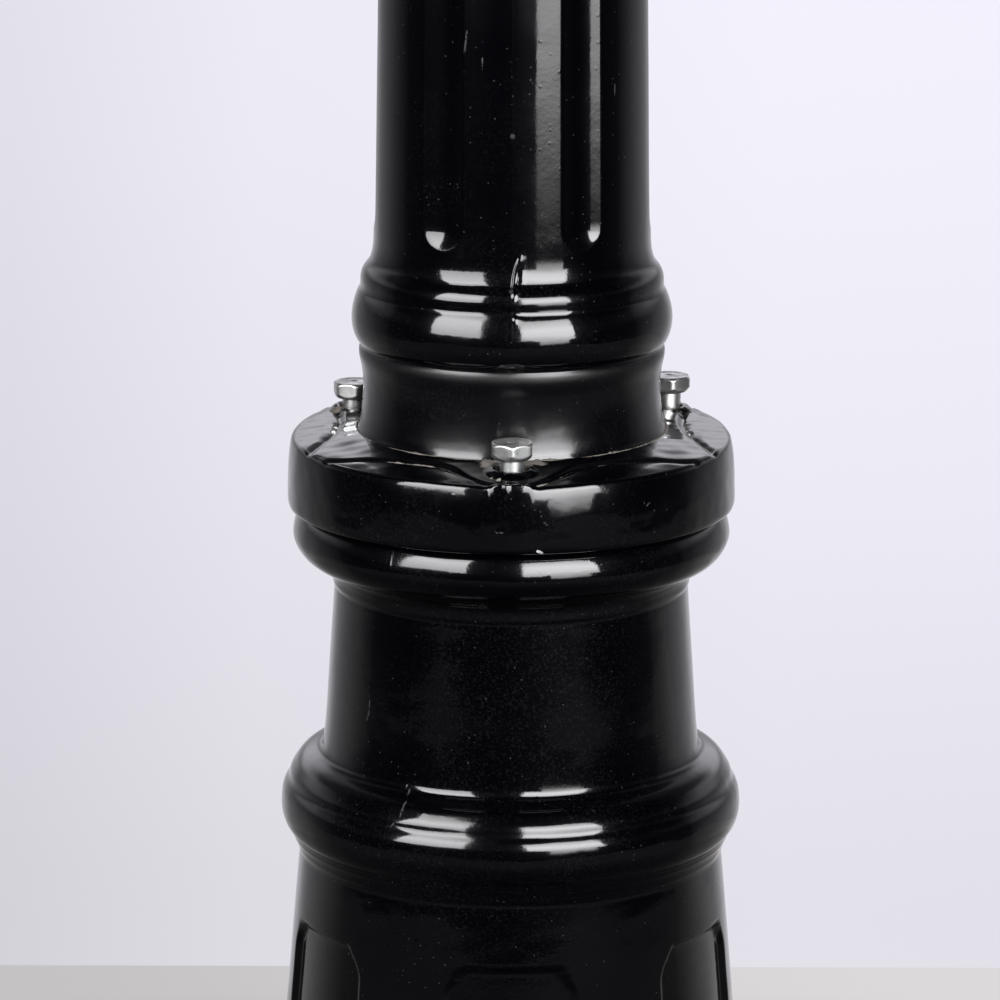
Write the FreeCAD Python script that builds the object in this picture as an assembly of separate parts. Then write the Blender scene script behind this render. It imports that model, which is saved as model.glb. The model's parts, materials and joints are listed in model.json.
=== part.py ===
import FreeCAD, Part
import os
import math

# Triple head garden lamp post, all lengths in millimetres.
# Frame: origin on the post's axis at ground level, +Z up, -Y is the front.
# Azimuth 0 is the front (-Y), positive towards +X.

# ---------------------------------------------------------------- driving dimensions
JOINT_Z = 619.3            # face where the clamp collar sits on the lower casting
FOOT_R = 160.0             # foot flange
FOOT_T = 14.0
ANCHOR_PCD = 280.0
ANCHOR_HOLE_R = 7.0
WALL = 5.5                 # casting wall

COLLAR_R = 74.1
COLLAR_TOP = 645.3
COLLAR_BORE_R = 50.0
LIP_R = 54.5               # lip at the column's foot, caught under the collar
LIP_TOP = 627.6

BOLT_PCD = 122.0           # three M8 x 40 hexagon bolts
BOLT_R = 4.0
BOLT_AF = 13.0
BOLT_HEAD = 5.3
BOLT_LEN = 40.0
BOLT_UNDER = (648.4, 651.0, 647.4)     # height of each head's underside
BOLT_AZ = (0.0, 120.0, -120.0)
BOLT_TURN = (30.0, -20.0, -20.0)
BOLT_HOLE_R = 4.6

SHAFT_Z0 = 710.0
SHAFT_R0 = 45.46
SHAFT_TAPER = 0.0146
SHAFT_TOP = 1500.0
SPIGOT_R = 31.0
SPIGOT_TOP = 1530.0
FLUTES = 6
FLUTE_Z0, FLUTE_Z1 = 720.2, 1440.0     # centres of the rounded flute ends

PANELS = 6
PANEL_HALF_DEG = 18.0
PANEL_TOP, PANEL_BOTTOM = 485.0, 285.0
PANEL_DEPTH = 2.2

CAPITAL_TOP = 1615.0
HUB_TOP = 1745.0
ARM_Z = 1680.0             # height of the arm sockets
ARM_REACH = 300.0          # post axis to lantern axis
ARM_R = 15.0
ARM_BORE_R = 9.0
ARM_BEND1_R, ARM_BEND1_DEG = 70.0, 35.0
SEAT_Z = 1800.0            # face on the arm that carries the lantern
ARM_TURN = (-150.0, -30.0, 90.0)       # rotation of arm 1, 2, 3 about the post axis

PAN_AF, PAN_Z0, PAN_Z1 = 136.0, 1846.0, 1854.0
CAGE_AF0, CAGE_AF1 = 130.0, 234.0      # hexagon across flats, bottom and top
CAGE_Z0, CAGE_Z1 = 1854.0, 2094.0
CAGE_T = 7.0
GLASS_T = 3.2
HINGE_X, HINGE_Z = 133.0, 2097.0       # from the lantern axis
HINGE_PIN_R = 2.5
HINGE_RUN_R = 2.56                     # running bore in the roof's knuckle
KNUCKLE_R = 6.0
ROOF_Z0 = 2094.3
EAVES_AF = 252.0

WIRE_R = 2.5
WIRE_RAD = 23.0            # distance of the leads from the post axis in the column

V = FreeCAD.Vector
os.makedirs("parts", exist_ok=True)


# ---------------------------------------------------------------- helpers
def rev(pts, deg=360.0):
    """Solid of revolution about Z from a closed outline of (r, z) points."""
    p = [V(r, 0, z) for r, z in pts]
    face = Part.Face(Part.makePolygon(p + [p[0]]))
    return face.revolve(V(0, 0, 0), V(0, 0, 1), deg)


def cyl(r, h, base, d=V(0, 0, 1)):
    return Part.makeCylinder(r, h, base, d)


def box(x0, y0, z0, x1, y1, z1):
    return Part.makeBox(x1 - x0, y1 - y0, z1 - z0, V(x0, y0, z0))


def turned(s, deg, c=V(0, 0, 0), ax=V(0, 0, 1)):
    t = s.copy()
    t.rotate(c, ax, deg)
    return t


def moved(s, x, y, z):
    t = s.copy()
    t.translate(V(x, y, z))
    return t


def az_xy(r, az):
    a = math.radians(az)
    return r * math.sin(a), -r * math.cos(a)


def hexwire(af, z, turn=30.0):
    r = af / math.sqrt(3.0)
    p = [V(r * math.cos(math.radians(turn + 60 * k)), r * math.sin(math.radians(turn + 60 * k)), z) for k in range(6)]
    return Part.makePolygon(p + [p[0]])


def hexprism(af, z0, z1, turn=30.0):
    return Part.Face(hexwire(af, z0, turn)).extrude(V(0, 0, z1 - z0))


def hexloft(secs):
    """Ruled solid through hexagons (across flats, z)."""
    return Part.makeLoft([hexwire(af, z) for af, z in secs], True, True)


def prism_xz(pts, y0, y1):
    p = [V(x, y0, z) for x, z in pts]
    return Part.Face(Part.makePolygon(p + [p[0]])).extrude(V(0, y1 - y0, 0))


def prism_yz(pts, x0, x1):
    p = [V(x0, y, z) for y, z in pts]
    return Part.Face(Part.makePolygon(p + [p[0]])).extrude(V(x1 - x0, 0, 0))


def hexbolt(af, head, r, length, turn=0.0, cham=0.8):
    """Hexagon bolt, head underside at z = 0, shank down."""
    h = hexprism(af, 0, head, turn)
    rc = af / math.sqrt(3.0)
    keep = rev([(0, -1), (rc + 1, -1), (rc + 1, head - (rc + 1 - af / 2 + 0.3) * 0.5), (af / 2 - 0.3, head), (0, head)])
    h = h.common(keep)
    shank = rev([(0, -length), (r - 0.8, -length), (r, -length + 0.8), (r, 0.5), (0, 0.5)])
    return h.fuse(shank).removeSplitter()


def rounded_path(points, radii):
    """Straight runs joined by tangent arcs."""
    edges = []
    cur = points[0]
    for i in range(1, len(points) - 1):
        p, a, b = points[i], points[i - 1], points[i + 1]
        u = (p - a)
        u.normalize()
        w = (b - p)
        w.normalize()
        turn = u.getAngle(w)
        R = radii[i - 1]
        t = R * math.tan(turn / 2)
        p1, p2 = p - u * t, p + w * t
        n = (w - u)
        n.normalize()
        c = p + n * (R / math.cos(turn / 2))
        m = c - n * R
        if (p1 - cur).Length > 1e-6:
            edges.append(Part.LineSegment(cur, p1).toShape())
        edges.append(Part.Arc(p1, m, p2).toShape())
        cur = p2
    edges.append(Part.LineSegment(cur, points[-1]).toShape())
    return edges


def sweep(edges, r):
    w = Part.Wire(edges)
    e = w.Edges[0]
    p0 = e.valueAt(e.FirstParameter)
    t0 = e.tangentAt(e.FirstParameter)
    prof = Part.Wire([Part.makeCircle(r, p0, t0)])
    s = w.makePipeShell([prof], True, False)
    if s.ShapeType != "Solid":
        s = Part.Solid(Part.Shell(s.Faces))
    if s.Volume < 0:
        s.reverse()
    return s


def save(name, shape, n=1):
    if shape.ShapeType != "Solid" and len(shape.Solids) == 1:
        shape = shape.Solids[0]
    ok = shape.isValid() and len(shape.Solids) == n
    b = shape.BoundBox
    print("%-20s solids %d %s vol %.0f  z %.1f..%.1f" % (name, len(shape.Solids), "ok" if ok else "BAD", shape.Volume, b.ZMin, b.ZMax))
    shape.exportStep("parts/%s.step" % name)
    return shape


def group(name, shapes):
    return save(name, Part.makeCompound([s.Solids[0] if s.ShapeType != "Solid" else s for s in shapes]), len(shapes))


def on_arm(s, i):
    """From the lantern's own axis to arm i of the post."""
    return turned(moved(s, ARM_REACH, 0, 0), ARM_TURN[i])


# ---------------------------------------------------------------- lower casting
base_out = [
    (0, 0), (FOOT_R, 0), (FOOT_R, 11), (158.5, 13.2), (156, FOOT_T), (129, FOOT_T), (126.5, 16.5), (126, 20), (126, 68),
    (124.5, 71), (121, 72), (121, 77), (119.5, 84), (115, 91), (109, 95.5), (106.5, 98), (106.5, 103), (108, 106),
    (108.6, 110), (108, 114), (105.5, 117), (103, 118), (101.5, 124), (98.8, 140), (96.8, 160), (95.4, 185),
    (94.8, 208), (95, 212), (97.5, 215), (99.3, 219), (99.8, 223), (99.3, 227), (97.5, 231), (95, 233.5),
    (93.4, 235), (93.2, 239), (92.9, 243),
    (75.5, 446.5), (74.9, 453.9), (74.28, 460.9), (73.6, 469.2), (72.97, 476.6), (72.24, 484.9), (71.72, 490.6), (71.27, 495.3),
    (70.85, 499.7), (71.3, 500.4), (71.3, 501.3), (70.95, 501.9), (71.1, 503.0), (72.1, 506.0), (73.5, 508.4), (74.75, 510.2),
    (75.7, 512.1), (76.4, 514.0), (76.86, 515.9), (77.15, 517.7), (77.19, 518.9), (77.06, 519.9), (76.8, 521.9), (76.5, 523.4),
    (76.0, 524.7), (75.2, 526.4), (74.3, 527.9), (73.2, 528.9), (72.8, 529.3), (73.0, 529.8), (72.75, 530.5), (72.2, 531.9),
    (71.4, 533.1), (70.4, 534.0), (69.0, 535.0), (67.0, 536.2), (65.2, 537.8), (63.9, 539.7), (63.0, 542.0), (62.36, 543.8),
    (62.0, 547.9), (61.0, 560.4), (60.0, 574.6), (59.0, 588.0), (58.7, 592.4), (58.7, 593.2), (59.2, 594.0), (59.3, 595.6),
    (59.9, 597.6), (61.2, 599.3), (63.0, 600.2), (65.5, 600.9), (66.6, 601.5), (67.56, 602.15), (68.4, 602.8), (69.1, 603.4),
    (69.9, 604.2), (70.6, 605.1), (71.44, 606.7), (72.0, 608.1), (72.37, 610.5), (72.42, 611.5), (72.2, 615.5), (71.9, 618.3),
    (71.2, JOINT_Z), (0, JOINT_Z)]
base_in = [
    (0, -5), (117, -5), (117, 66), (106, 86), (100, 100), (97, 118), (90.5, 150), (88.5, 200), (87, 243),
    (82, 285), (63.5, 500), (63.5, 522), (56.5, 541), (53.2, 570), (52.4, 591), (50, 596), (43, 600), (43, JOINT_Z + 5), (0, JOINT_Z + 5)]
PAD = (-32.0, 66.0, 285.0, 32.0, 100.0, 392.0)       # flat pad for the wiring, at the back
base = rev(base_out)
cavity = rev(base_in).cut(box(*PAD))
base = base.cut(cavity)
# recessed panels with clipped upper and lower corners
ring = rev([(75.5 + 0.0857 * (446.5 - z) - (PANEL_DEPTH if s == 0 else -8.0), z) for s, z in
            ((0, PANEL_BOTTOM - 5), (1, PANEL_BOTTOM - 5), (1, PANEL_TOP + 5), (0, PANEL_TOP + 5))])
hw0 = 94.0 * math.sin(math.radians(PANEL_HALF_DEG)) - 2.2
hw1 = 72.5 * math.sin(math.radians(PANEL_HALF_DEG))
panel = prism_yz([(-hw0 + 6, PANEL_BOTTOM), (hw0 - 6, PANEL_BOTTOM), (hw0, PANEL_BOTTOM + 8), (hw1, PANEL_TOP - 8),
                  (hw1 - 6, PANEL_TOP), (-hw1 + 6, PANEL_TOP), (-hw1, PANEL_TOP - 8), (-hw0, PANEL_BOTTOM + 8)], 40, 120)
panel = panel.common(ring)
for k in range(PANELS):
    base = base.cut(turned(panel, -90 + 60 * k))
for k in range(4):
    a = math.radians(45 + 90 * k)
    base = base.cut(cyl(ANCHOR_HOLE_R, FOOT_T + 10, V(ANCHOR_PCD / 2 * math.cos(a), ANCHOR_PCD / 2 * math.sin(a), -5)))
for az in BOLT_AZ:
    x, y = az_xy(BOLT_PCD / 2, az)
    base = base.cut(cyl(BOLT_R + 0.05, JOINT_Z - 605.3 + 1, V(x, y, 605.3)))
# tapped holes in the pad
PAD_Y = PAD[1]
SCREWS = [(0.0, 369.0), (0.0, 292.0), (-14.0, 306.0), (14.0, 306.0)]
for x, z in SCREWS:
    base = base.cut(cyl(2.05, 7.0, V(x, PAD_Y - 1, z), V(0, 1, 0)))
EARTH = (24.0, 300.0)
base = base.cut(cyl(2.55, 9.0, V(EARTH[0], PAD_Y - 1, EARTH[1]), V(0, 1, 0)))
save("base_casting", base)

# ---------------------------------------------------------------- clamp collar
collar = rev([(LIP_R + 0.3, JOINT_Z), (73.3, JOINT_Z), (COLLAR_R, JOINT_Z + 0.9), (COLLAR_R, 638.8), (73.95, 640.2), (73.4, 641.3),
              (72.6, 642.0), (71.4, 642.5), (66.0, 643.25), (56.0, 644.6), (COLLAR_BORE_R, COLLAR_TOP), (COLLAR_BORE_R, LIP_TOP + 0.2),
              (LIP_R + 0.3, LIP_TOP + 0.2)])
# six shallow crescents leave a raised star with a point at each bolt and halfway between the bolts
LOBE_R, LOBE_AT, LOBE_FALL, LOBE_FLOOR = 63.6, 119.9, 2.8, 640.34
for k in range(6):
    x, y = az_xy(1.0, 30 + 60 * k)
    t = math.radians(LOBE_FALL)
    lean = V(x * math.sin(t), y * math.sin(t), math.cos(t))
    collar = collar.cut(cyl(LOBE_R, 20, V(LOBE_AT * x, LOBE_AT * y, LOBE_FLOOR), lean))
# a low boss under each bolt head
BOSS_R, BOSS_FOOT_R = 6.6, 9.2
for az, top in zip(BOLT_AZ, (645.0, 645.6, 645.6)):
    x, y = az_xy(BOLT_PCD / 2, az)
    collar = collar.fuse(Part.makeCone(BOSS_FOOT_R + 1.5, BOSS_R, 6.0, V(x, y, top - 6.0)))
for az in BOLT_AZ:
    x, y = az_xy(BOLT_PCD / 2, az)
    collar = collar.cut(cyl(BOLT_HOLE_R, 40, V(x, y, JOINT_Z - 2)))
save("clamp_collar", collar)

bolts = []
for az, z, t in zip(BOLT_AZ, BOLT_UNDER, BOLT_TURN):
    x, y = az_xy(BOLT_PCD / 2, az)
    bolts.append(moved(hexbolt(BOLT_AF, BOLT_HEAD, BOLT_R, BOLT_LEN, turn=t), x, y, z))
group("coupling_bolts", bolts)


# ---------------------------------------------------------------- fluted column
def shaft_r(z):
    return SHAFT_R0 - SHAFT_TAPER * (z - SHAFT_Z0)


col_out = [
    (0, JOINT_Z), (LIP_R - 0.5, JOINT_Z), (LIP_R, JOINT_Z + 0.5), (LIP_R, LIP_TOP), (49.6, LIP_TOP), (49.6, 644.6), (49.95, 645.6), (49.85, 646.6), (49.6, 648.3),
    (49.3, 650.4), (49.02, 652.8), (48.8, 655.5), (48.7, 658.5), (48.75, 661.5), (49.05, 663.8), (49.4, 665.4), (49.75, 666.8), (50.1, 668.0), (50.37, 669.1), (50.47, 670.2), (50.5, 673.5),
    (50.55, 675.0), (51.1, 675.5), (51.7, 676.6), (52.1, 677.5), (52.44, 678.8), (52.74, 680.0), (53.0, 681.3), (53.15, 682.4),
    (53.21, 683.5), (53.15, 684.7), (52.96, 685.9), (52.78, 686.9), (52.34, 688.1), (51.82, 689.3), (51.2, 690.6), (50.3, 692.2),
    (50.05, 692.8), (50.3, 693.4), (50.13, 694.0), (49.95, 695.3), (49.71, 696.3), (49.4, 697.1), (48.4, 698.5), (47.5, 700.0),
    (46.8, 701.7), (46.27, 703.3), (45.97, 704.7), (45.8, 706.3), (SHAFT_R0, SHAFT_Z0), (shaft_r(SHAFT_TOP), SHAFT_TOP),
    (SPIGOT_R, SHAFT_TOP), (SPIGOT_R, SPIGOT_TOP - 1), (SPIGOT_R - 1, SPIGOT_TOP), (0, SPIGOT_TOP)]
column = rev(col_out)
column = column.cut(rev([(0, JOINT_Z - 5), (43, JOINT_Z - 5), (43, 686), (38.2, 706), (27.6, 1480), (27.3, SPIGOT_TOP + 5), (0, SPIGOT_TOP + 5)]))
r1, r2, c1, c2 = 23.5, 18.0, 67.2, 51.5
L = FLUTE_Z1 - FLUTE_Z0
tilt = math.degrees(math.atan((c1 - c2) / L))
arc1 = Part.Arc(V(0, 0, -r1), V(r1 * math.sin(math.pi / 4), 0, -r1 * math.cos(math.pi / 4)), V(r1, 0, 0)).toShape()
arc2 = Part.Arc(V(r2, 0, L), V(r2 * math.sin(math.pi / 4), 0, L + r2 * math.cos(math.pi / 4)), V(0, 0, L + r2)).toShape()
fw = Part.Wire([arc1, Part.LineSegment(V(r1, 0, 0), V(r2, 0, L)).toShape(), arc2,
                Part.LineSegment(V(0, 0, L + r2), V(0, 0, -r1)).toShape()])
flute = Part.Face(fw).revolve(V(0, 0, 0), V(0, 0, 1), 360)
flute.rotate(V(0, 0, 0), V(0, 1, 0), -tilt)
flute.translate(V(c1, 0, FLUTE_Z0))
for k in range(FLUTES):
    column = column.cut(turned(flute, -90 + 30 + 60 * k))
save("column", column)

# ---------------------------------------------------------------- capital, hub and finial
cap_out = [(SPIGOT_R + 0.1, SHAFT_TOP), (38, SHAFT_TOP), (40, 1503), (43, 1508), (44.5, 1515), (43, 1521), (39.5, 1525), (37, 1528),
           (36, 1533), (35.6, 1550), (36.2, 1565), (38.5, 1578), (42.5, 1588), (47, 1595), (50.5, 1599), (52, 1603), (52, 1611),
           (50.5, CAPITAL_TOP), (27.3, CAPITAL_TOP), (27.3, SPIGOT_TOP + 0.2), (SPIGOT_R + 0.1, SPIGOT_TOP + 0.2)]
capital = rev(cap_out)
HUB_SCREW_R = 44.3
for az in BOLT_AZ:
    x, y = az_xy(HUB_SCREW_R, az)
    capital = capital.cut(cyl(3.05, 16, V(x, y, 1600)))
cap_screws = []
for k, az in enumerate((60.0, 180.0, 300.0)):
    a = math.radians(az - 90)
    capital = capital.cut(cyl(3.05, 20, V(29 * math.cos(a), 29 * math.sin(a), 1515), V(math.cos(a), math.sin(a), 0)))
    s = rev([(0, 0), (2.2, 0), (3.0, 0.8), (3.0, 12.2), (2.6, 12.6), (0, 12.6)]).cut(hexprism(3.0, 9.0, 13.0))
    s.rotate(V(0, 0, 0), V(0, 1, 0), 90)
    s = moved(s, SPIGOT_R + 0.05, 0, 1515)
    cap_screws.append(turned(s, az - 90))
save("capital", capital)
group("capital_screws", cap_screws)

hub_out = [(27, CAPITAL_TOP), (50.5, CAPITAL_TOP), (51.5, 1616.5), (51.5, 1621), (50.2, 1623.2), (37.6, 1623.2), (36.5, 1625), (36, 1629),
           (36, 1716), (37, 1718), (39.5, 1720), (41, 1724), (40.5, 1728), (38, 1731), (35, 1732.5), (33, 1735), (31.5, 1741), (30, HUB_TOP),
           (0, HUB_TOP), (0, 1712), (15, 1710), (24, 1704), (27, 1694)]
hub = rev(hub_out)
sockets = []
for t in ARM_TURN:
    boss = rev([(0, 0), (23, 0), (23, 46), (24.5, 47.5), (24.5, 51), (23.5, 52), (0, 52)])
    boss.rotate(V(0, 0, 0), V(0, 1, 0), 90)
    hub = hub.fuse(turned(moved(boss, 0, 0, ARM_Z), t))
hub = hub.cut(rev([(0, 1600), (27, 1600), (27, 1694), (24, 1704), (15, 1710), (0, 1712)]))
for t in ARM_TURN:
    hub = hub.cut(turned(cyl(16.1, 60, V(0, 0, ARM_Z), V(1, 0, 0)), t))
    hub = hub.cut(turned(cyl(3.05, 14, V(43, 0, ARM_Z + 12)), t))
hub = hub.cut(cyl(5.05, 20, V(0, 0, HUB_TOP - 18)))
for az in BOLT_AZ:
    x, y = az_xy(HUB_SCREW_R, az)
    hub = hub.cut(cyl(3.3, 12, V(x, y, 1613)))
save("hub", hub)
hs = []
for az in BOLT_AZ:
    x, y = az_xy(HUB_SCREW_R, az)
    hs.append(moved(hexbolt(10.0, 4.0, 3.0, 20.0, turn=az), x, y, 1623.2))
group("hub_screws", hs)
grub = rev([(0, 0), (2.2, 0), (3.0, 0.8), (3.0, 7.6), (2.6, 8.0), (0, 8.0)]).cut(hexprism(3.0, 5.0, 9.0))
group("arm_screws", [turned(moved(grub, 43, 0, ARM_Z + 16.0), t) for t in ARM_TURN])
fin = rev([(0, HUB_TOP - 15), (4.2, HUB_TOP - 15), (5, HUB_TOP - 14), (5, HUB_TOP), (27, HUB_TOP), (28, 1747), (27.5, 1750), (22, 1752.5), (15, 1757),
           (12, 1764), (13, 1771), (18, 1777), (20, 1780), (19, 1783.5), (15, 1786), (14, 1790), (18, 1800), (25, 1813), (28.5, 1827),
           (28.8, 1838), (26, 1851), (20, 1864), (13, 1876), (9, 1884), (8.5, 1888), (11, 1891), (12.2, 1895), (11, 1899), (8, 1902),
           (6, 1908), (4.6, 1920), (3.0, 1936), (0, 1942)])
save("centre_finial", fin)

# ---------------------------------------------------------------- arms
b1 = math.radians(ARM_BEND1_DEG)
p0x = 70.0
e1x, e1z = p0x + ARM_BEND1_R * math.sin(b1), ARM_Z - ARM_BEND1_R * (1 - math.cos(b1))
R2 = (ARM_REACH - e1x) / (1 + math.sin(b1))
c2x, c2z = e1x + R2 * math.sin(b1), e1z + R2 * math.cos(b1)


def on2(deg, r=None):
    """Point of the big bend at the given angle from +X."""
    a = math.radians(deg)
    r = R2 if r is None else r
    return V(c2x + r * math.cos(a), 0, c2z + r * math.sin(a))


def arm_path(x0, z1):
    ed = [Part.LineSegment(V(x0, 0, ARM_Z), V(p0x, 0, ARM_Z)).toShape()]
    m = V(p0x + ARM_BEND1_R * math.sin(b1 / 2), 0, ARM_Z - ARM_BEND1_R * (1 - math.cos(b1 / 2)))
    ed.append(Part.Arc(V(p0x, 0, ARM_Z), m, V(e1x, 0, e1z)).toShape())
    ed.append(Part.Arc(V(e1x, 0, e1z), on2(-(90 + ARM_BEND1_DEG) / 2), V(ARM_REACH, 0, c2z)).toShape())
    ed.append(Part.LineSegment(V(ARM_REACH, 0, c2z), V(ARM_REACH, 0, z1)).toShape())
    return ed


arm = sweep(arm_path(50.0, SEAT_Z - 6), ARM_R)
spig = rev([(0, 0), (15.4, 0), (16, 0.6), (16, 18), (20, 18.2), (21, 19.5), (21, 22.5), (20, 24), (0, 24)])
spig.rotate(V(0, 0, 0), V(0, 1, 0), 90)
arm = arm.fuse(moved(spig, 34, 0, ARM_Z))
top = rev([(0, 1772), (17, 1774), (19.5, 1777), (19.5, 1780), (17, 1783), (16, 1786), (18, 1790), (23, 1793), (24, 1795), (24, 1799), (23.2, SEAT_Z), (0, SEAT_Z)])
arm = arm.fuse(moved(top, ARM_REACH, 0, 0))
# inner scroll, leaving the big bend and curling inwards
S_DEG, S_R1, S_R2 = -50.0, 44.0, 21.0
ps = on2(S_DEG)
ad = math.radians(S_DEG + 90)
n = V(-math.sin(ad), 0, math.cos(ad))
cs = ps + n * S_R1


def at(c, r, deg):
    a = math.radians(deg)
    return V(c.x + r * math.cos(a), 0, c.z + r * math.sin(a))


a_start = S_DEG
a_end = S_DEG + 215.0
sc = [Part.Arc(at(cs, S_R1, a_start), at(cs, S_R1, (a_start + a_end) / 2), at(cs, S_R1, a_end)).toShape()]
cs2 = at(cs, S_R1 - S_R2, a_end)
sc.append(Part.Arc(at(cs2, S_R2, a_end), at(cs2, S_R2, a_end + 85), at(cs2, S_R2, a_end + 170)).toShape())
arm = arm.fuse(sweep(sc, 6.5))
end = at(cs2, S_R2, a_end + 170)
arm = arm.fuse(Part.makeSphere(9.5, end))
# drop under the arm's lowest point
lowx, lowz = c2x, c2z - R2
drop = rev([(0, lowz + 2), (8, lowz + 2), (7, lowz - 16), (9, lowz - 18), (9, lowz - 20), (6.5, lowz - 22), (8.5, lowz - 27),
            (9.5, lowz - 32), (8, lowz - 38), (4.5, lowz - 43), (0, lowz - 46)])
arm = arm.fuse(moved(drop, lowx, 0, 0))
arm = arm.cut(sweep(arm_path(20.0, SEAT_Z - 24), ARM_BORE_R))
arm = arm.cut(cyl(10.05, 40, V(ARM_REACH, 0, SEAT_Z - 24)))
for i in range(3):
    save("arm_%d" % (i + 1), turned(arm, ARM_TURN[i]))

# hollow threaded nipples and their nuts
nip = rev([(6, 1778), (9.4, 1778), (10, 1778.6), (10, 1875.4), (9.4, 1876), (6, 1876)])
group("seat_nipples", [on_arm(nip, i) for i in range(3)])
nut = hexprism(30, PAN_Z1, PAN_Z1 + 8).cut(cyl(10.05, 20, V(0, 0, PAN_Z1 - 5)))
nut = nut.common(rev([(0, PAN_Z1), (15.6, PAN_Z1), (17.4, PAN_Z1 + 1.2), (17.4, PAN_Z1 + 6.8), (15.6, PAN_Z1 + 8), (0, PAN_Z1 + 8)]))
group("seat_nuts", [on_arm(nut, i) for i in range(3)])

# ---------------------------------------------------------------- lanterns, drawn about their own axis, hinge side +X
SL = (CAGE_AF1 - CAGE_AF0) / 2 / (CAGE_Z1 - CAGE_Z0)      # slope of the glass


def face_x(z):
    return CAGE_AF0 / 2 + SL * (z - CAGE_Z0)


lbase = rev([(0, SEAT_Z), (24, SEAT_Z), (24.5, 1801), (24.5, 1805), (23, 1807), (18.5, 1810), (16, 1815), (15.5, 1822), (17, 1825),
             (19.5, 1827), (20, 1829.5), (19, 1832), (17.5, 1834), (19, 1837), (25, 1840.5), (36, 1843.5), (54, PAN_Z0), (54, PAN_Z0 + 2), (0, PAN_Z0 + 2)])
pan = hexloft([(PAN_AF - 12, PAN_Z0), (PAN_AF, PAN_Z0 + 3), (PAN_AF, PAN_Z1 - 1), (PAN_AF - 2, PAN_Z1)])
lbase = lbase.fuse(pan)
lbase = lbase.cut(cyl(10.1, 70, V(0, 0, SEAT_Z - 5)))
FS_R = 70.3
for a in (30.0, 150.0, 270.0):
    x, y = FS_R * math.cos(math.radians(a)), FS_R * math.sin(math.radians(a))
    lbase = lbase.cut(cyl(1.7, 30, V(x, y, PAN_Z0 - 5)))
    lbase = lbase.cut(cyl(3.2, 10, V(x, y, PAN_Z0 - 8)))

cage = hexloft([(CAGE_AF0, CAGE_Z0), (CAGE_AF1, CAGE_Z1)])
lo, hi = CAGE_Z0 - 10.0, CAGE_Z1 + 10.0
cage = cage.cut(hexloft([(2 * (face_x(lo) - CAGE_T), lo), (2 * (face_x(hi) - CAGE_T), hi)]))
win = prism_yz([(-27.5, 1864.0), (27.5, 1864.0), (56.0, 2082.0), (-56.0, 2082.0)], 30, 150)
for k in range(6):
    cage = cage.cut(turned(win, 60 * k))
for s in (-1, 1):
    ya, yb = (8.3, 24.0) if s > 0 else (-24.0, -8.3)
    web = prism_xz([(112.5, 2084), (124, 2084), (138.2, 2094.1), (133, 2100), (127.2, 2096), (126.9, 2092.8), (112.5, 2092.8)], ya, yb)
    web = web.cut(hexloft([(2 * (face_x(lo) - CAGE_T / 2), lo), (2 * (face_x(hi) - CAGE_T / 2), hi)]))
    cage = cage.fuse(web).fuse(cyl(KNUCKLE_R, yb - ya, V(HINGE_X, ya, HINGE_Z), V(0, 1, 0)))
cage = cage.cut(cyl(HINGE_PIN_R + 0.02, 60, V(HINGE_X, -30, HINGE_Z), V(0, 1, 0)))
for a in (30.0, 150.0, 270.0):
    x, y = FS_R * math.cos(math.radians(a)), FS_R * math.sin(math.radians(a))
    cage = cage.cut(cyl(1.55, 10, V(x, y, CAGE_Z0 - 1)))
cage = cage.removeSplitter()

fscrew = rev([(0, 1848.9), (1.2, 1848.9), (1.2, 1848.0), (2.9, 1848.0), (2.9, 1850.4), (1.5, 1850.4), (1.5, 1861.4), (1.1, 1862), (0, 1862)])
for a in (30.0, 150.0, 270.0):
    x, y = FS_R * math.cos(math.radians(a)), FS_R * math.sin(math.radians(a))
    lbase = lbase.cut(cyl(3.2, 5.4, V(x, y, 1845.1)))

gz0, gz1 = 1856.0, 2087.0


def quad(z, hw):
    xo = face_x(z) - CAGE_T - 0.2
    xi = xo - GLASS_T
    return Part.makePolygon([V(xo, -hw, z), V(xo, hw, z), V(xi, hw, z), V(xi, -hw, z), V(xo, -hw, z)])


pane = Part.makeLoft([quad(gz0, 31.0), quad(gz1, 60.0)], True, True)
clip = prism_xz([(44, 1854.0), (54.3, 1854.0), (57.3, 1868.0), (55.9, 1868.0), (53.2, 1855.5), (44, 1855.5)], -6, 6)

holder = rev([(10.1, 1864), (19, 1864), (21, 1866), (21, 1893), (20, 1895), (20, 1912), (19, 1914), (14.2, 1914), (13.8, 1913),
              (13.8, 1884), (4, 1884), (4, 1876.5), (10.1, 1876.5)])
bcap = rev([(0, 1884.6), (4.5, 1885), (6, 1887), (11, 1889.5), (13.1, 1891), (13.1, 1910.5), (12.6, 1911), (0, 1911)])
bo = [(12.2, 1911.2), (14.0, 1917), (17.2, 1926), (22.0, 1937), (27.0, 1948), (29.6, 1958), (30.0, 1966), (28.8, 1975), (25.4, 1984), (20.0, 1990.6), (13.0, 1995.2), (6.0, 1997.4), (0, 1998.0)]
bi = [(0, 1996.8), (5.8, 1996.2), (12.5, 1994.1), (19.2, 1989.6), (24.4, 1983.2), (27.6, 1974.6), (28.8, 1966), (28.4, 1958.3), (25.9, 1948.5), (20.9, 1937.5), (16.1, 1926.4), (12.9, 1917.3), (11.1, 1911.2)]
bulb = rev(bo + bi)

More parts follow.
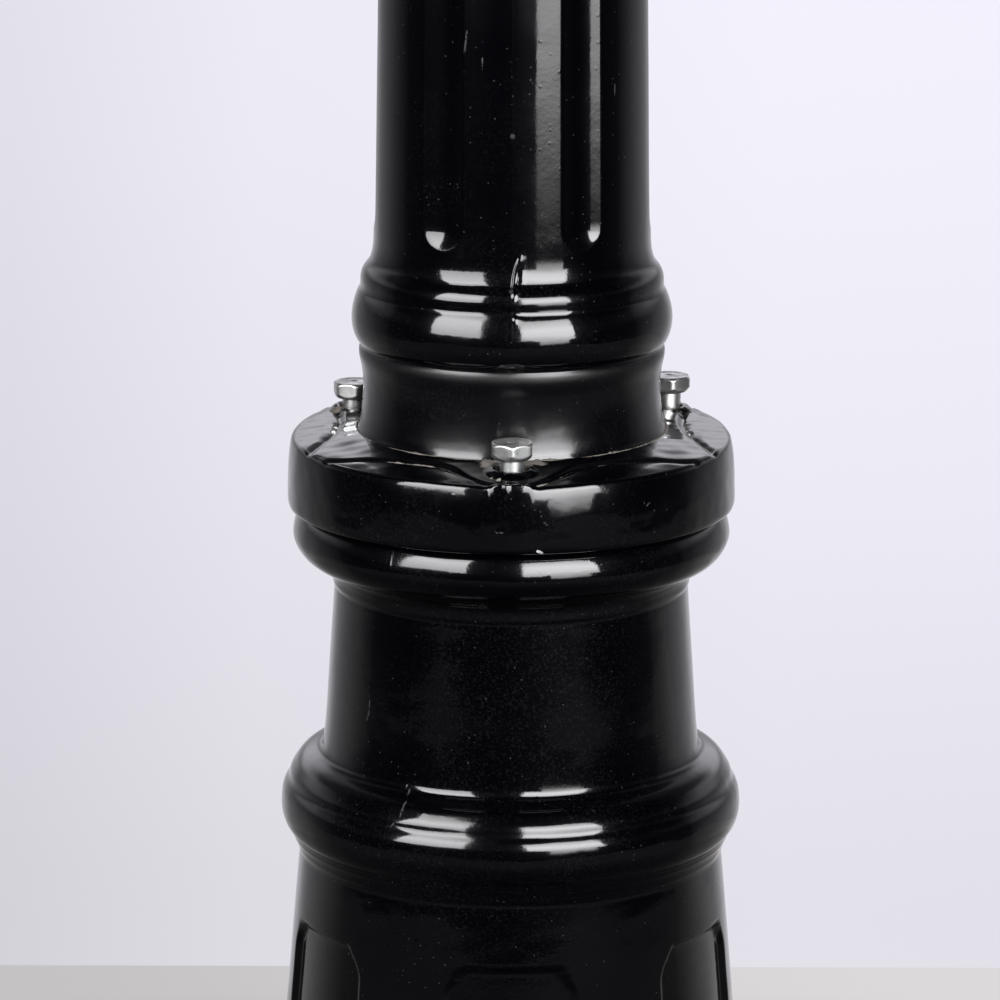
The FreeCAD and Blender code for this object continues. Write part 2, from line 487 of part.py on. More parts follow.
# hinged roof
roof = hexloft([(EAVES_AF, ROOF_Z0), (EAVES_AF, 2099.5), (EAVES_AF - 6, 2101.5), (234, 2103.5), (188, 2120), (138, 2142), (96, 2166), (68, 2186), (56, 2196), (54, 2200)])
roof = roof.cut(hexloft([(198, ROOF_Z0 - 1), (198, 2110.5), (173.5, 2120), (125.5, 2142), (84.5, 2166), (57.5, 2186), (46, 2193), (44, 2194)]))
roof = roof.fuse(hexprism(204, 2086, ROOF_Z0 + 1).cut(hexprism(198, 2080, ROOF_Z0 + 5)))
roof = roof.fuse(prism_xz([(118, ROOF_Z0), (126, ROOF_Z0), (131.5, 2091.3), (136, 2102), (124, 2102.3), (118, 2101)], -8, 8))
roof = roof.fuse(cyl(KNUCKLE_R, 16, V(HINGE_X, -8, HINGE_Z), V(0, 1, 0)))
roof = roof.cut(cyl(HINGE_RUN_R, 40, V(HINGE_X, -20, HINGE_Z), V(0, 1, 0)))
roof = roof.fuse(box(-126, -9, 2079, -121.5, 9, ROOF_Z0 + 2))
roof = roof.cut(cyl(2.05, 20, V(-130, 0, 2087), V(1, 0, 0)))
roof = roof.cut(cyl(4.05, 20, V(0, 0, 2185)))
roof = roof.removeSplitter()

vent = rev([(4.05, 2200), (24, 2200), (24, 2206), (22, 2208), (22, 2214), (31, 2216), (33, 2218.5), (32, 2221), (27, 2226), (18, 2231), (12, 2234), (4.05, 2235)])
for k in range(8):
    vent = vent.cut(turned(cyl(2.4, 14, V(10, 0, 2211), V(1, 0, 0)), 22.5 + 45 * k))
rfin = rev([(0, 2188), (3.4, 2188), (4, 2188.6), (4, 2235), (11, 2235), (12, 2237), (11, 2239.5), (7.5, 2241), (6.5, 2244), (9, 2248), (13, 2254), (15, 2261),
            (14.5, 2268), (11, 2275), (7, 2280), (5.6, 2284), (7.4, 2287), (7.6, 2289.5), (5.8, 2292), (3.6, 2297), (2.2, 2306), (0, 2311)])
thumb = rev([(0, 0), (1.6, 0), (2.0, 0.5), (2.0, 14.6), (4.2, 15.2), (4.2, 16.6), (7.2, 16.8), (8, 17.6), (8, 22.4), (7.2, 23.2), (0, 23.6)])
for k in range(12):
    a = math.radians(30 * k)
    thumb = thumb.cut(cyl(0.9, 10, V(8.3 * math.cos(a), 8.3 * math.sin(a), 15.5)))
thumb.rotate(V(0, 0, 0), V(0, 1, 0), -90)
thumb = moved(thumb, -116.4, 0, 2087)
pin = cyl(HINGE_PIN_R, 50, V(HINGE_X, -24, HINGE_Z), V(0, 1, 0)).fuse(
    moved(turned(rev([(0, 0), (3.6, 0), (4.2, 0.6), (3.6, 1.8), (0, 2.2)]), 90, V(0, 0, 0), V(1, 0, 0)), HINGE_X, -24, HINGE_Z))

for i in range(3):
    k = "_%d" % (i + 1)
    save("lantern_base" + k, on_arm(lbase, i))
    save("lantern_frame" + k, on_arm(cage, i))
    group("glass_panes" + k, [on_arm(turned(pane, 60 * j), i) for j in range(6)])
    group("pane_clips" + k, [on_arm(turned(clip, 60 * j), i) for j in range(6)])
    save("lampholder" + k, on_arm(holder, i))
    save("bulb_cap" + k, on_arm(bcap, i))
    save("bulb" + k, on_arm(bulb, i))
    save("roof" + k, on_arm(roof, i))
    save("vent_cap" + k, on_arm(vent, i))
    save("roof_finial" + k, on_arm(rfin, i))
    save("thumbscrew" + k, on_arm(thumb, i))
group("hinge_pins", [on_arm(pin, i) for i in range(3)])
scr = []
for i in range(3):
    for a in (30.0, 150.0, 270.0):
        scr.append(on_arm(moved(fscrew, FS_R * math.cos(math.radians(a)), FS_R * math.sin(math.radians(a)), 0), i))
group("frame_screws", scr)

# ---------------------------------------------------------------- wiring point inside the base
brk = box(-30, PAD_Y - 3, 287, 30, PAD_Y, 376)
for x, z in SCREWS:
    brk = brk.cut(cyl(2.2, 10, V(x, PAD_Y - 5, z), V(0, 1, 0)))
brk = brk.cut(cyl(2.7, 10, V(EARTH[0], PAD_Y - 5, EARTH[1]), V(0, 1, 0)))
save("terminal_bracket", brk)
TBX = (-14.0, 0.0, 14.0)
TB_Y = 53.0
blk = box(-22, 44, 322, 22, PAD_Y - 3, 360)
for x in TBX:
    blk = blk.cut(cyl(WIRE_R + 0.1, 14, V(x, TB_Y, 347)))
    blk = blk.cut(cyl(WIRE_R + 0.1, 13, V(x, TB_Y, 321)))
    blk = blk.cut(cyl(2.6, 5, V(x, 43, 341), V(0, 1, 0)))
save("terminal_block", blk)
SAD_Z = 306.0
sad = box(-19, PAD_Y - 5.5, SAD_Z - 4.5, 19, PAD_Y - 3, SAD_Z + 4.5).fuse(cyl(8.0, 9, V(0, PAD_Y - 6, SAD_Z - 4.5)))
sad = sad.cut(cyl(5.5, 20, V(0, PAD_Y - 6, SAD_Z - 10))).cut(box(-30, PAD_Y - 3, SAD_Z - 10, 30, PAD_Y + 20, SAD_Z + 10))
sad = sad.cut(box(-5.5, PAD_Y - 6, SAD_Z - 10, 5.5, PAD_Y, SAD_Z + 10))
for x in (-14.0, 14.0):
    sad = sad.cut(cyl(2.2, 10, V(x, PAD_Y - 8, SAD_Z), V(0, 1, 0)))
save("cable_saddle", sad)
ts = []
for j, (x, z) in enumerate(SCREWS):
    s = rev([(0, 0.6), (1.2, 0.6), (1.2, 0), (3.4, 0), (3.8, 0.6), (3.8, 2.4), (2.0, 2.4), (2.0, 10.6), (1.6, 11), (0, 11)])
    s.rotate(V(0, 0, 0), V(1, 0, 0), -90)
    y = PAD_Y - 3 - 2.4 - (2.5 if j > 1 else 0.0)
    ts.append(moved(s, x, y, z))
group("terminal_screws", ts)
eb = hexbolt(8.0, 3.5, 2.5, 10.5)
eb.rotate(V(0, 0, 0), V(1, 0, 0), 90)
save("earth_bolt", moved(eb, EARTH[0], PAD_Y - 3, EARTH[1]))

# ---------------------------------------------------------------- inner leads
for i in range(3):
    a = math.radians(ARM_TURN[i])
    u = V(math.cos(a), math.sin(a), 0)
    xk = (TBX[0], TBX[2], TBX[1])[i]
    pts = [V(xk, TB_Y, 347.4), V(xk, TB_Y, 420), V(u.x * WIRE_RAD, u.y * WIRE_RAD, 735), V(u.x * WIRE_RAD, u.y * WIRE_RAD, ARM_Z), V(u.x * 66, u.y * 66, ARM_Z)]
    ed = rounded_path(pts, [60.0, 90.0, 20.0])
    tail = [turned(e, ARM_TURN[i]) for e in arm_path(66.0, 1874.0)]
    w = sweep(ed + tail, WIRE_R)
    want = math.pi * WIRE_R ** 2 * sum(e.Length for e in ed + tail)
    print("wire %d volume / (section x length) = %.4f, length %.0f mm" % (i + 1, w.Volume / want, sum(e.Length for e in ed + tail)))
    save("wire_%d" % (i + 1), w)
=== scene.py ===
import bpy
import json
import math
import numpy as np
from mathutils import Matrix, Vector


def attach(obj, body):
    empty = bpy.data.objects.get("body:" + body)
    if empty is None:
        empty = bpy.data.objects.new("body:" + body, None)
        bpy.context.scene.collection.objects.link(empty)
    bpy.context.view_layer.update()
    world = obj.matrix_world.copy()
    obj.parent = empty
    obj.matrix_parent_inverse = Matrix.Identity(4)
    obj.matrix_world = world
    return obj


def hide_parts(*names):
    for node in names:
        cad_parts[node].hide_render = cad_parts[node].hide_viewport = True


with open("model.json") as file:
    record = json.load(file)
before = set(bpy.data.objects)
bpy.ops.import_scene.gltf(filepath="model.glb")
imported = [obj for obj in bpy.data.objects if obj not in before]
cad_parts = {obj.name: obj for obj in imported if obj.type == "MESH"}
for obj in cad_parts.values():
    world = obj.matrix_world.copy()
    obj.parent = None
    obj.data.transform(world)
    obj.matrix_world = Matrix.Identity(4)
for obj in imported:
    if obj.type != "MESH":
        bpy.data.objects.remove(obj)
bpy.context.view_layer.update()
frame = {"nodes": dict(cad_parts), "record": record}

NODES = frame["nodes"]

# ------------------------------------------------------------------ dimensions (mm, the post's own frame)
Z0 = 620.0                  # height of the joint between the lower casting and the collar
JOINT = -0.7                # collar seat, from Z0
PLATEAU_Z, PLATEAU_FALL, NECK_R = 25.4, 0.138, 50.3
COLLAR_X = -0.1              # the loose ring sits a little to the left
BOLT_AT = 61.0
BOLT_HOLE = 5.0
BOSS = {0.0: 25.05, 120.0: 25.75, -120.0: 25.65}
BOLT_AZ = (0.0, 120.0, -120.0)
BOLT_TURN = (30.0, -20.0, -20.0)
BOLT_UNDER = (648.4, 650.7, 648.3)
BOLT_AF, BOLT_HEAD, BOLT_R = 13.0, 5.3, 4.0
FLUTES = 6
PANELS = 6
ANCHOR_PCD, ANCHOR_R, FOOT_T = 280.0, 7.0, 14.0

# ------------------------------------------------------------------ numeric helpers


def waves(seed, lo, hi, n):
    """A smooth random function of place (mm): n plane waves with lengths from lo to hi, about unit size."""
    g = np.random.RandomState(seed)
    k = g.normal(size=(n, 3))
    k /= np.linalg.norm(k, axis=1)[:, None]
    lam = np.exp(g.uniform(math.log(lo), math.log(hi), n))
    k *= (2 * math.pi / lam)[:, None]
    ph = g.uniform(0, 2 * math.pi, n)

    def f(x, y, z):
        p = np.stack([x, y, z], -1)
        out = np.zeros(x.shape)
        for i in range(n):
            out += np.sin(p @ k[i] + ph[i])
        return out * math.sqrt(2.0 / n)
    return f


def step(a, b, x):
    t = np.clip((x - a) / (b - a), 0, 1)
    return t * t * (3 - 2 * t)


def bell(x, w):
    return np.exp(-(x / w) ** 2)


def smin(a, b, k):
    h = np.clip(0.5 + 0.5 * (b - a) / k, 0, 1)
    return b * (1 - h) + a * h - k * h * (1 - h)


def wrap(a):
    return (a + 180.0) % 360.0 - 180.0


def natural(t, y, tt):
    """Natural cubic spline through (t, y), read at tt."""
    n = len(t)
    h = np.diff(t)
    A = np.zeros((n, n))
    b = np.zeros(n)
    A[0, 0] = A[-1, -1] = 1
    for i in range(1, n - 1):
        A[i, i - 1], A[i, i], A[i, i + 1] = h[i - 1], 2 * (h[i - 1] + h[i]), h[i]
        b[i] = 6 * ((y[i + 1] - y[i]) / h[i] - (y[i] - y[i - 1]) / h[i - 1])
    m = np.linalg.solve(A, b)
    i = np.clip(np.searchsorted(t, tt) - 1, 0, n - 2)
    d0, d1 = tt - t[i], t[i + 1] - tt
    return (m[i] * d1 ** 3 + m[i + 1] * d0 ** 3) / (6 * h[i]) + (y[i] / h[i] - m[i] * h[i] / 6) * d1 + (y[i + 1] / h[i] - m[i + 1] * h[i] / 6) * d0


def curve(pts, gap):
    """Points along a smooth curve through pts, gap apart."""
    p = np.array(pts, float)
    s = np.r_[0, np.cumsum(np.hypot(*np.diff(p, axis=0).T))]
    n = max(2, int(math.ceil(s[-1] / gap)) + 1)
    tt = np.linspace(0, s[-1], n)
    return np.stack([natural(s, p[:, 0], tt), natural(s, p[:, 1], tt)], -1)


def line(pts, gap):
    p = np.array(pts, float)
    out = []
    for a, b in zip(p[:-1], p[1:]):
        n = max(1, int(math.ceil(np.hypot(*(b - a)) / gap)))
        out.append(a + (b - a) * np.linspace(0, 1, n, endpoint=False)[:, None])
    out.append(p[-1:])
    return np.concatenate(out)


def chain(*parts):
    out = [parts[0]]
    for q in parts[1:]:
        if np.hypot(*(q[0] - out[-1][-1])) < 1e-6:
            q = q[1:]
        out.append(q)
    return np.concatenate(out)


def turns(coarse, fine):
    """Azimuths round the post in degrees: coarse step, with (centre, half width, step) zones of their own."""
    a = list(np.arange(-180.0, 180.0, coarse))
    for c, w, s in fine:
        c = wrap(c)
        a = [x for x in a if abs(wrap(x - c)) > w + 0.25 * s]
        a += list(c + np.arange(-w, w + 1e-6, s))
    a = np.sort(np.unique(np.round([wrap(x) for x in a], 4)))
    keep = np.r_[True, np.diff(a) > 0.04]
    return a[keep]


def ring_mesh(name, X, Y, Z, **attrs):
    """Closed both ways: rows run along the section, columns round the axis. mm in, metres out."""
    n, m = X.shape
    co = np.stack([X, Y, Z], -1).reshape(-1, 3) * 0.001
    i, j = np.meshgrid(np.arange(n), np.arange(m), indexing="ij")
    i2, j2 = (i + 1) % n, (j + 1) % m
    f = np.stack([i * m + j, i * m + j2, i2 * m + j2, i2 * m + j], -1).reshape(-1, 4)
    me = bpy.data.meshes.new(name)
    me.from_pydata(co.tolist(), [], f.tolist())
    me.polygons.foreach_set("use_smooth", np.ones(len(f), bool))
    for key, v in attrs.items():
        at = me.attributes.new(key, "FLOAT", "POINT")
        at.data.foreach_set("value", np.broadcast_to(v, X.shape).astype(np.float32).ravel())
    me.update()
    ob = bpy.data.objects.new(name, me)
    bpy.context.scene.collection.objects.link(ob)
    return ob


def near_line(x, y, pts):
    """Distance from (x, y) to a polyline."""
    d = np.full(x.shape, 1e9)
    for (ax, ay), (bx, by) in zip(pts[:-1], pts[1:]):
        ux, uy = bx - ax, by - ay
        t = np.clip(((x - ax) * ux + (y - ay) * uy) / (ux * ux + uy * uy), 0, 1)
        d = np.minimum(d, np.hypot(x - ax - t * ux, y - ay - t * uy))
    return d


wave_long = waves(3, 16, 45, 26)
wave_mid = waves(5, 6, 15, 30)
wave_short = waves(8, 2.6, 5.0, 30)


def cast_skin(x, y, z, long=0.05, mid=0.02, short=0.0):
    return long * wave_long(x, y, z) + mid * wave_mid(x, y, z) + (short * wave_short(x, y, z) if short else 0.0)


def lathe_grid(prof, az):
    R = np.repeat(prof[:, 0][:, None], len(az), 1)
    Z = np.repeat(prof[:, 1][:, None], len(az), 1)
    A = np.repeat(np.asarray(az)[None, :], len(prof), 0)
    return R, Z, A


def to_xy(R, A):
    return R * np.sin(np.radians(A)), -R * np.cos(np.radians(A))


def outer_part(prof):
    """1 on the outer skin, 0 on the bore: the outer skin is the first run up to the top of the section."""
    top = int(np.argmax(prof[:, 1]))
    w = np.zeros(len(prof))
    w[:top + 1] = 1
    return w[:, None]


# ------------------------------------------------------------------ column
def make_column():
    hid = line([(44.0, JOINT), (53.6, JOINT), (54.2, JOINT + 0.6), (54.2, 7.2), (53.6, 7.6), (49.6, 7.7)], 3.0)
    neck = chain(line([(49.6, 7.7), (49.6, 21.0), (50.7, 23.4)], 5.0),
                 curve([(50.7, 23.4), (50.98, 24.2), (50.98, 24.9), (50.55, 26.2), (50.05, 28.2), (49.68, 30.3), (49.42, 32.4), (49.22, 34.6), (49.08, 37.0), (49.02, 39.5),
                        (49.06, 42.0), (49.2, 44.0), (49.45, 46.0), (49.8, 47.6), (50.03, 48.6), (50.27, 50.0), (50.34, 51.3), (50.3, 52.3), (50.12, 53.0), (49.88, 53.5), (49.75, 53.9)], 0.6))
    bead = curve([(49.75, 53.9), (50.1, 54.35), (50.65, 54.95), (51.2, 55.75), (51.7, 56.75), (52.12, 57.9), (52.48, 59.3), (52.7, 60.7), (52.78, 62.1), (52.76, 63.5), (52.64, 64.8), (52.44, 66.1),
                  (52.15, 67.4), (51.78, 68.7), (51.35, 69.9), (50.9, 71.0), (50.6, 71.6), (50.33, 72.1), (50.16, 72.45)], 0.5)
    crease = curve([(50.16, 72.45), (50.03, 72.85), (49.93, 73.4), (49.88, 74.0), (49.87, 74.6)], 0.3)
    rib = curve([(49.87, 74.6), (49.86, 75.4), (49.8, 76.2), (49.66, 77.0), (49.42, 77.8), (49.1, 78.5), (48.66, 79.2), (48.12, 79.9), (47.56, 80.6), (47.08, 81.3), (46.7, 82.0), (46.38, 82.9),
                 (46.1, 83.9), (45.86, 85.0), (45.69, 86.1), (45.58, 87.3), (45.51, 88.5), (45.47, 90.0), (45.45, 91.5), (45.43, 93.0)], 0.5)
    shaft_r = lambda z: 45.43 - 0.0146 * (z - 93.0)
    fz0, fz1 = 99.2, 820.0
    shaft = np.concatenate([line([(45.43, 93.0), (shaft_r(97.0), 97.0)], 0.8), line([(shaft_r(97.5), 97.5), (shaft_r(175), 175.0)], 1.6),
                            line([(shaft_r(176.5), 176.5), (shaft_r(200), 200.0)], 3.0), line([(shaft_r(212), 212.0), (shaft_r(805), 805.0)], 13.0),
                            line([(shaft_r(807), 807.0), (shaft_r(834), 834.0)], 1.5), line([(shaft_r(842), 842.0), (shaft_r(880), 880.0)], 12.0)])
    top = line([(shaft_r(880), 880.0), (31.0, 880.0), (31.0, 909.0), (30.0, 910.0), (27.3, 910.0)], 8.0)
    bore = line([(27.3, 910.0), (27.6, 860.0), (38.2, 86.0), (43.0, 66.0), (43.0, JOINT)], 60.0)
    prof = chain(hid, neck, bead, crease, rib, shaft, top, bore)[1:]
    prof = prof[:-1] if np.hypot(*(prof[-1] - prof[0])) < 0.5 else prof
    zones = []
    for k in range(FLUTES):
        c = 30 + 60 * k
        zones += [(c, 10.9, 0.8), (c - 8.9, 1.5, 0.33), (c + 8.9, 1.5, 0.33)]
    zones += [(0.0, 2.2, 0.2)]
    az = turns(1.35, zones)
    R, Z, A = lathe_grid(prof, az)
    out = outer_part(prof)
    # flutes: long shallow grooves of round section, with rounded ends
    zm = (fz0 + fz1) / 2
    end = np.maximum(0, np.abs(Z - zm) - (fz1 - fz0) / 2)
    da = np.radians((A - 30.0 + 30.0) % 60.0 - 30.0)
    wide = np.interp(Z, [fz0, fz1], [7.26, 5.4])
    q = np.hypot(R * np.sin(da), end) / wide
    deep = np.interp(Z, [fz0, fz1], [1.78, 1.35]) * (1 - q ** 2)
    fl = np.where(np.abs(da) < 0.45, R * np.cos(da) / np.cos(np.clip(da, -0.45, 0.45)) - deep, 60.0)
    zone = ((Z > fz0 - 12) & (Z < fz1 + 10)) * out
    R = np.where(zone > 0, smin(R, fl, 0.42), R)
    X, Y = to_xy(R, A)
    skin = cast_skin(X, Y, Z, 0.03, 0.012, 0.003)
    skin = skin * (0.35 + 0.75 * bell(Z - 70.0, 16.0) + 0.4 * bell(Z - 35, 12.0))
    # the parting line runs down the front and the back, and is dressed flat, with a burr left on the rib
    pl = wrap(A + 0.35 + 0.25 * np.sin(Z / 23.0))
    pmm = np.radians(pl) * R
    seam = 0.022 * bell(pmm, 0.5) * (0.3 + 0.7 * (np.sin(Z / 3.1) * np.sin(Z / 7.7 + 1) > -0.2))
    nick = np.hypot((pmm - 1.9 - 0.16 * (Z - 84.6)) / 1.25, (Z - 84.6) / 5.2)
    burr = 0.45 * bell(nick - 1.0, 0.28) - 0.25 * bell(nick, 0.6)
    burr += 0.4 * bell(pmm - 1.3, 0.8) * bell(Z - 71.6, 0.9)
    pb = wrap(A - 180.0)
    seam_b = 0.05 * bell(np.radians(pb) * R, 0.4)
    R2 = R + (skin + seam + burr + seam_b) * out * step(24.0, 27.0, Z)
    X, Y = to_xy(R2, A)
    # where dirt settles: the neck's foot, the seams under and over the main bead
    d = np.minimum(0.15 + np.abs(Z - 25.3) * 1.3, 9)
    d = np.minimum(d, 0.95 + np.abs(Z - 54.7) * 1.6)
    d = np.minimum(d, 1.05 + np.abs(Z - 73.4) * 2.0)
    dirt = np.clip(1 - d / 2.0, 0, 1) * out
    pits = np.clip(1 - np.abs(pmm) / 3.0, 0, 1) * out
    sx, sz = np.radians(A) * R, Z
    scr = np.full(R.shape, 9.0)
    for pts in (((-14.9, 163.5), (-15.8, 156.0)), ((-12.0, 178.5), (-12.6, 172.0)), ((37.0, 146.0), (36.0, 139.0)), ((-9.8, 155.0), (-10.3, 148.8)),
                ((-9.5, 85.5), (-8.2, 83.8)), ((-8.4, 85.6), (-9.6, 84.0))):
        scr = np.minimum(scr, near_line(sx, sz, pts))
    scr = np.clip(1 - scr / 1.5, 0, 1) * out
    dull = (step(25.0, 29.0, Z) * (1 - step(51.0, 54.0, Z)) + 2.2 * bell(Z - 52.2, 1.8)) * out
    ob = ring_mesh("column_body", X, Y, Z + Z0, dirt=dirt, pits=pits, scr=scr, dull=dull)
    return ob


# ------------------------------------------------------------------ lower casting
def foot_map(X, Y, R, Z, outm):
    """Sinks the four anchor holes through the foot flange."""
    for k in range(4):
        a = math.radians(45 + 90 * k)
        cx, cy = ANCHOR_PCD / 2 * math.cos(a), ANCHOR_PCD / 2 * math.sin(a)
        dx, dy = X - cx, Y - cy
        d = np.hypot(dx, dy) + 1e-9
        on = (np.abs(Z - FOOT_T) < 0.6) & (outm > 0)
        w, d1 = 13.0, 3.2
        near = on & (d < w)
        nd = np.where(d < d1, ANCHOR_R * 0.97 * d / d1, ANCHOR_R + (d - d1) * (w - ANCHOR_R) / (w - d1))
        X = np.where(near, cx + dx / d * nd, X)
        Y = np.where(near, cy + dy / d * nd, Y)
        Z = np.where(on & (d < d1), 0.6, Z)
    return X, Y, Z


def make_base():
    foot = line([(119.0, -620.0), (159.0, -620.0), (160.0, -619.0), (160.0, -609.6), (159.4, -608.0), (158.0, -606.6), (156.0, -606.0)], 1.6)
    flange = line([(156.0, -606.0), (129.0, -606.0)], 1.0)
    plinth = chain(curve([(129.0, -606.0), (127.4, -605.2), (126.4, -603.2), (126.0, -600.0)], 0.7), line([(126.0, -600.0), (126.0, -552.5)], 5.0),
                   curve([(126.0, -552.5), (125.8, -550.6), (124.6, -549.1), (122.6, -548.4), (121.2, -548.0)], 0.7),
                   curve([(121.2, -548.0), (121.0, -546.0), (120.9, -542.0), (119.5, -536.0), (117.6, -531.8), (115.0, -528.6), (112.0, -526.2), (109.0, -524.4), (107.0, -522.6),
                          (106.4, -520.4), (106.4, -517.6), (107.4, -515.0), (108.3, -512.4), (108.6, -510.0), (108.2, -507.0), (107.0, -504.2), (105.2, -502.6), (103.4, -501.8)], 0.8),
                   curve([(103.4, -501.8), (102.6, -500.0), (101.2, -494.0), (99.9, -487.0), (98.8, -480.0), (97.6, -470.0), (96.7, -459.0), (95.9, -446.0), (95.4, -435.0), (95.0, -422.0),
                          (94.85, -412.0), (95.2, -408.4), (96.4, -405.9), (98.2, -403.2), (99.3, -400.4), (99.8, -397.0), (99.4, -393.4), (98.2, -390.4), (96.4, -387.8), (94.8, -386.2), (93.7, -384.8)], 1.0))
    body_r = lambda z: 75.5 + 0.0857 * (-173.5 - z)
    body = np.concatenate([line([(93.7, -384.8), (body_r(-381.0), -381.0)], 1.5), line([(body_r(-378.0), -378.0), (body_r(-345.0), -345.0)], 3.0),
                           line([(body_r(-343.8), -343.8), (body_r(-322.0), -322.0)], 1.2), line([(body_r(-316.0), -316.0), (body_r(-190.0), -190.0)], 7.0),
                           line([(body_r(-186.0), -186.0), (body_r(-178.0), -178.0)], 2.0)])
    upper = curve([(75.9, -178.0), (75.5, -173.5), (74.9, -166.1), (74.28, -159.1), (73.6, -150.8), (72.97, -143.4), (72.24, -135.1), (71.72, -129.4), (71.3, -124.7), (70.95, -121.2)], 1.1)
    steps = curve([(70.95, -121.2), (70.8, -119.8), (70.74, -118.8), (70.85, -118.1), (71.2, -117.5), (71.5, -116.8), (71.7, -115.9), (72.0, -115.0), (72.45, -114.1), (72.85, -113.4),
                   (73.0, -112.9), (73.12, -112.4), (73.5, -111.8)], 0.35)
    bead = curve([(73.5, -111.8), (73.7, -111.0), (74.2, -110.4), (74.9, -109.5), (75.55, -108.4), (76.1, -107.1), (76.52, -105.8), (76.78, -104.5), (76.88, -103.2), (76.87, -101.9), (76.77, -100.5),
                  (76.57, -99.0), (76.25, -97.6), (75.8, -96.5), (75.3, -95.6), (74.82, -94.9), (74.4, -94.2), (74.1, -93.4), (73.87, -92.5), (73.58, -91.6)], 0.5)
    should = curve([(73.58, -91.6), (73.1, -90.7), (72.45, -89.7), (71.75, -88.7), (71.0, -87.75), (70.15, -87.0), (69.2, -86.4), (68.0, -85.95), (66.8, -85.6), (65.7, -85.3),
                    (64.8, -85.0), (64.1, -84.6), (63.6, -84.1), (63.22, -83.4), (62.95, -82.7), (62.75, -81.8), (62.55, -80.5), (62.35, -78.8), (62.02, -75.6)], 0.5)
    neck = curve([(62.02, -75.6), (61.6, -70.5), (61.12, -63.5), (60.65, -56.0), (60.15, -48.5), (59.65, -41.0), (59.2, -34.4), (58.95, -30.4)], 1.5)
    ring = curve([(58.95, -30.4), (58.82, -28.4), (58.85, -27.3), (59.15, -26.6), (59.3, -25.6), (59.3, -24.6)], 0.4)
    under = curve([(59.3, -24.6), (59.5, -23.1), (59.95, -21.9), (60.7, -21.0), (61.75, -20.35), (63.0, -19.85), (64.3, -19.4), (65.6, -18.9), (66.75, -18.3), (67.8, -17.6), (68.8, -16.8), (69.75, -15.85),
                   (70.6, -14.75), (71.35, -13.5), (71.92, -12.2), (72.24, -11.1), (72.36, -10.0), (72.3, -8.8), (72.12, -7.6), (71.85, -6.4), (71.48, -5.2), (71.0, -4.0), (70.4, -2.9), (69.6, -1.9), (68.6, -1.1)], 0.5)
    lid = line([(68.6, -1.1), (67.6, -0.75), (43.0, -0.7)], 6.0)
    inner = line([(43.0, -0.7), (43.0, -20.0), (50.0, -24.0), (52.4, -29.0), (53.2, -50.0), (56.5, -79.0), (63.5, -98.0), (63.5, -120.0), (82.0, -335.0), (87.0, -377.0), (88.5, -420.0), (90.5, -470.0),
                  (97.0, -502.0), (100.0, -520.0), (106.0, -534.0), (117.0, -554.0), (117.0, -618.5), (119.0, -620.0)], 70.0)
    prof = chain(foot, flange, plinth, body, upper, steps, bead, should, neck, ring, under, lid, inner)[:-1]
    zones = []
    for k in range(PANELS):
        zones += [(60 * k - 17.6, 1.8, 0.42), (60 * k + 17.6, 1.8, 0.42)]
    zones += [(-33.0, 2.0, 0.25), (45.0, 5.5, 0.55), (135.0, 5.5, 0.55), (-45.0, 5.5, 0.55), (-135.0, 5.5, 0.55)]
    az = turns(1.75, zones)
    R, Z, A = lathe_grid(prof, az)
    outm = outer_part(prof) * np.ones_like(R)
    # recessed panels with clipped corners and a soft bevel round them
    da = (A + 30.0) % 60.0 - 30.0
    s = np.abs(np.radians(da) * np.clip(R, 60, 110))
    zb, zt = -334.0, -139.0
    half = (26.9 + (22.6 - 26.9) * np.clip((Z - zb) / (zt - zb), 0, 1)) + 0.25 * np.sin(Z / 19.0)
    top = zt - 1.0 * (np.clip(s - (half - 6.5), 0, None)) * 1.25
    bot = zb + 1.0 * (np.clip(s - (half - 6.5), 0, None)) * 1.25
    inside = smin(smin(half - s, top - Z, 3.0), Z - bot, 3.0)
    depth = 2.1 * step(-0.3, 2.2, inside)
    R = R - depth * outm * ((Z > -350) & (Z < -125))
    X, Y = to_xy(R, A)
    skin = cast_skin(X, Y, Z, 0.045, 0.018, 0.003) * (0.45 + 0.55 * (bell(Z + 8, 12) + bell(Z + 98, 14)))
    pl = np.radians(wrap(A + 33.0 + 0.3 * np.sin(Z / 31.0))) * R
    seam = 0.03 * bell(pl, 0.45) * (0.35 + 0.65 * (np.sin(Z / 4.3 + 2) > -0.4)) * (Z > -130) + 0.02 * bell(pl, 0.5)
    plb = np.radians(wrap(A - 147.0)) * R
    seam += 0.07 * bell(plb, 0.5)
    keep = outm * step(-0.8, -2.0, Z) * step(-618.0, -612.0, Z)
    R2 = R + (skin + seam) * keep
    X, Y = to_xy(R2, A)
    X, Y, ZZ = foot_map(X, Y, R2, Z + Z0, outm)
    d = np.minimum(np.minimum(1.0 + np.abs(Z + 90.6) * 1.5, 1.1 + np.abs(Z + 25.8) * 1.2), 0.75 + np.abs(Z + 114.5) * 0.3 + 0.02 * np.abs(np.radians(A) * R + 13.0))
    d = np.minimum(d, 1.2 + np.abs(Z + 606) * 0.2 + 3 * (R < 127))
    d = np.minimum(d, 0.9 + np.abs(Z + 548) * 0.4)
    dirt = np.clip(1 - d / 2.0, 0, 1) * outm
    pits = 0.7 * np.clip(1 - np.abs(pl) / 3.0, 0, 1) * outm * (Z > -75)
    sx = np.radians(A) * R
    scr = near_line(sx, Z, ((-52.5, -57.5), (-52.9, -62.5), (-54.6, -66.0)))
    scr = np.minimum(scr, near_line(sx, Z, ((-34.6, -84.0), (-37.8, -90.5), (-41.0, -94.0))))
    scr = np.clip(1 - scr / 1.5, 0, 1) * outm
    return ring_mesh("base_body", X, Y, ZZ, dirt=dirt, pits=pits, scr=scr)


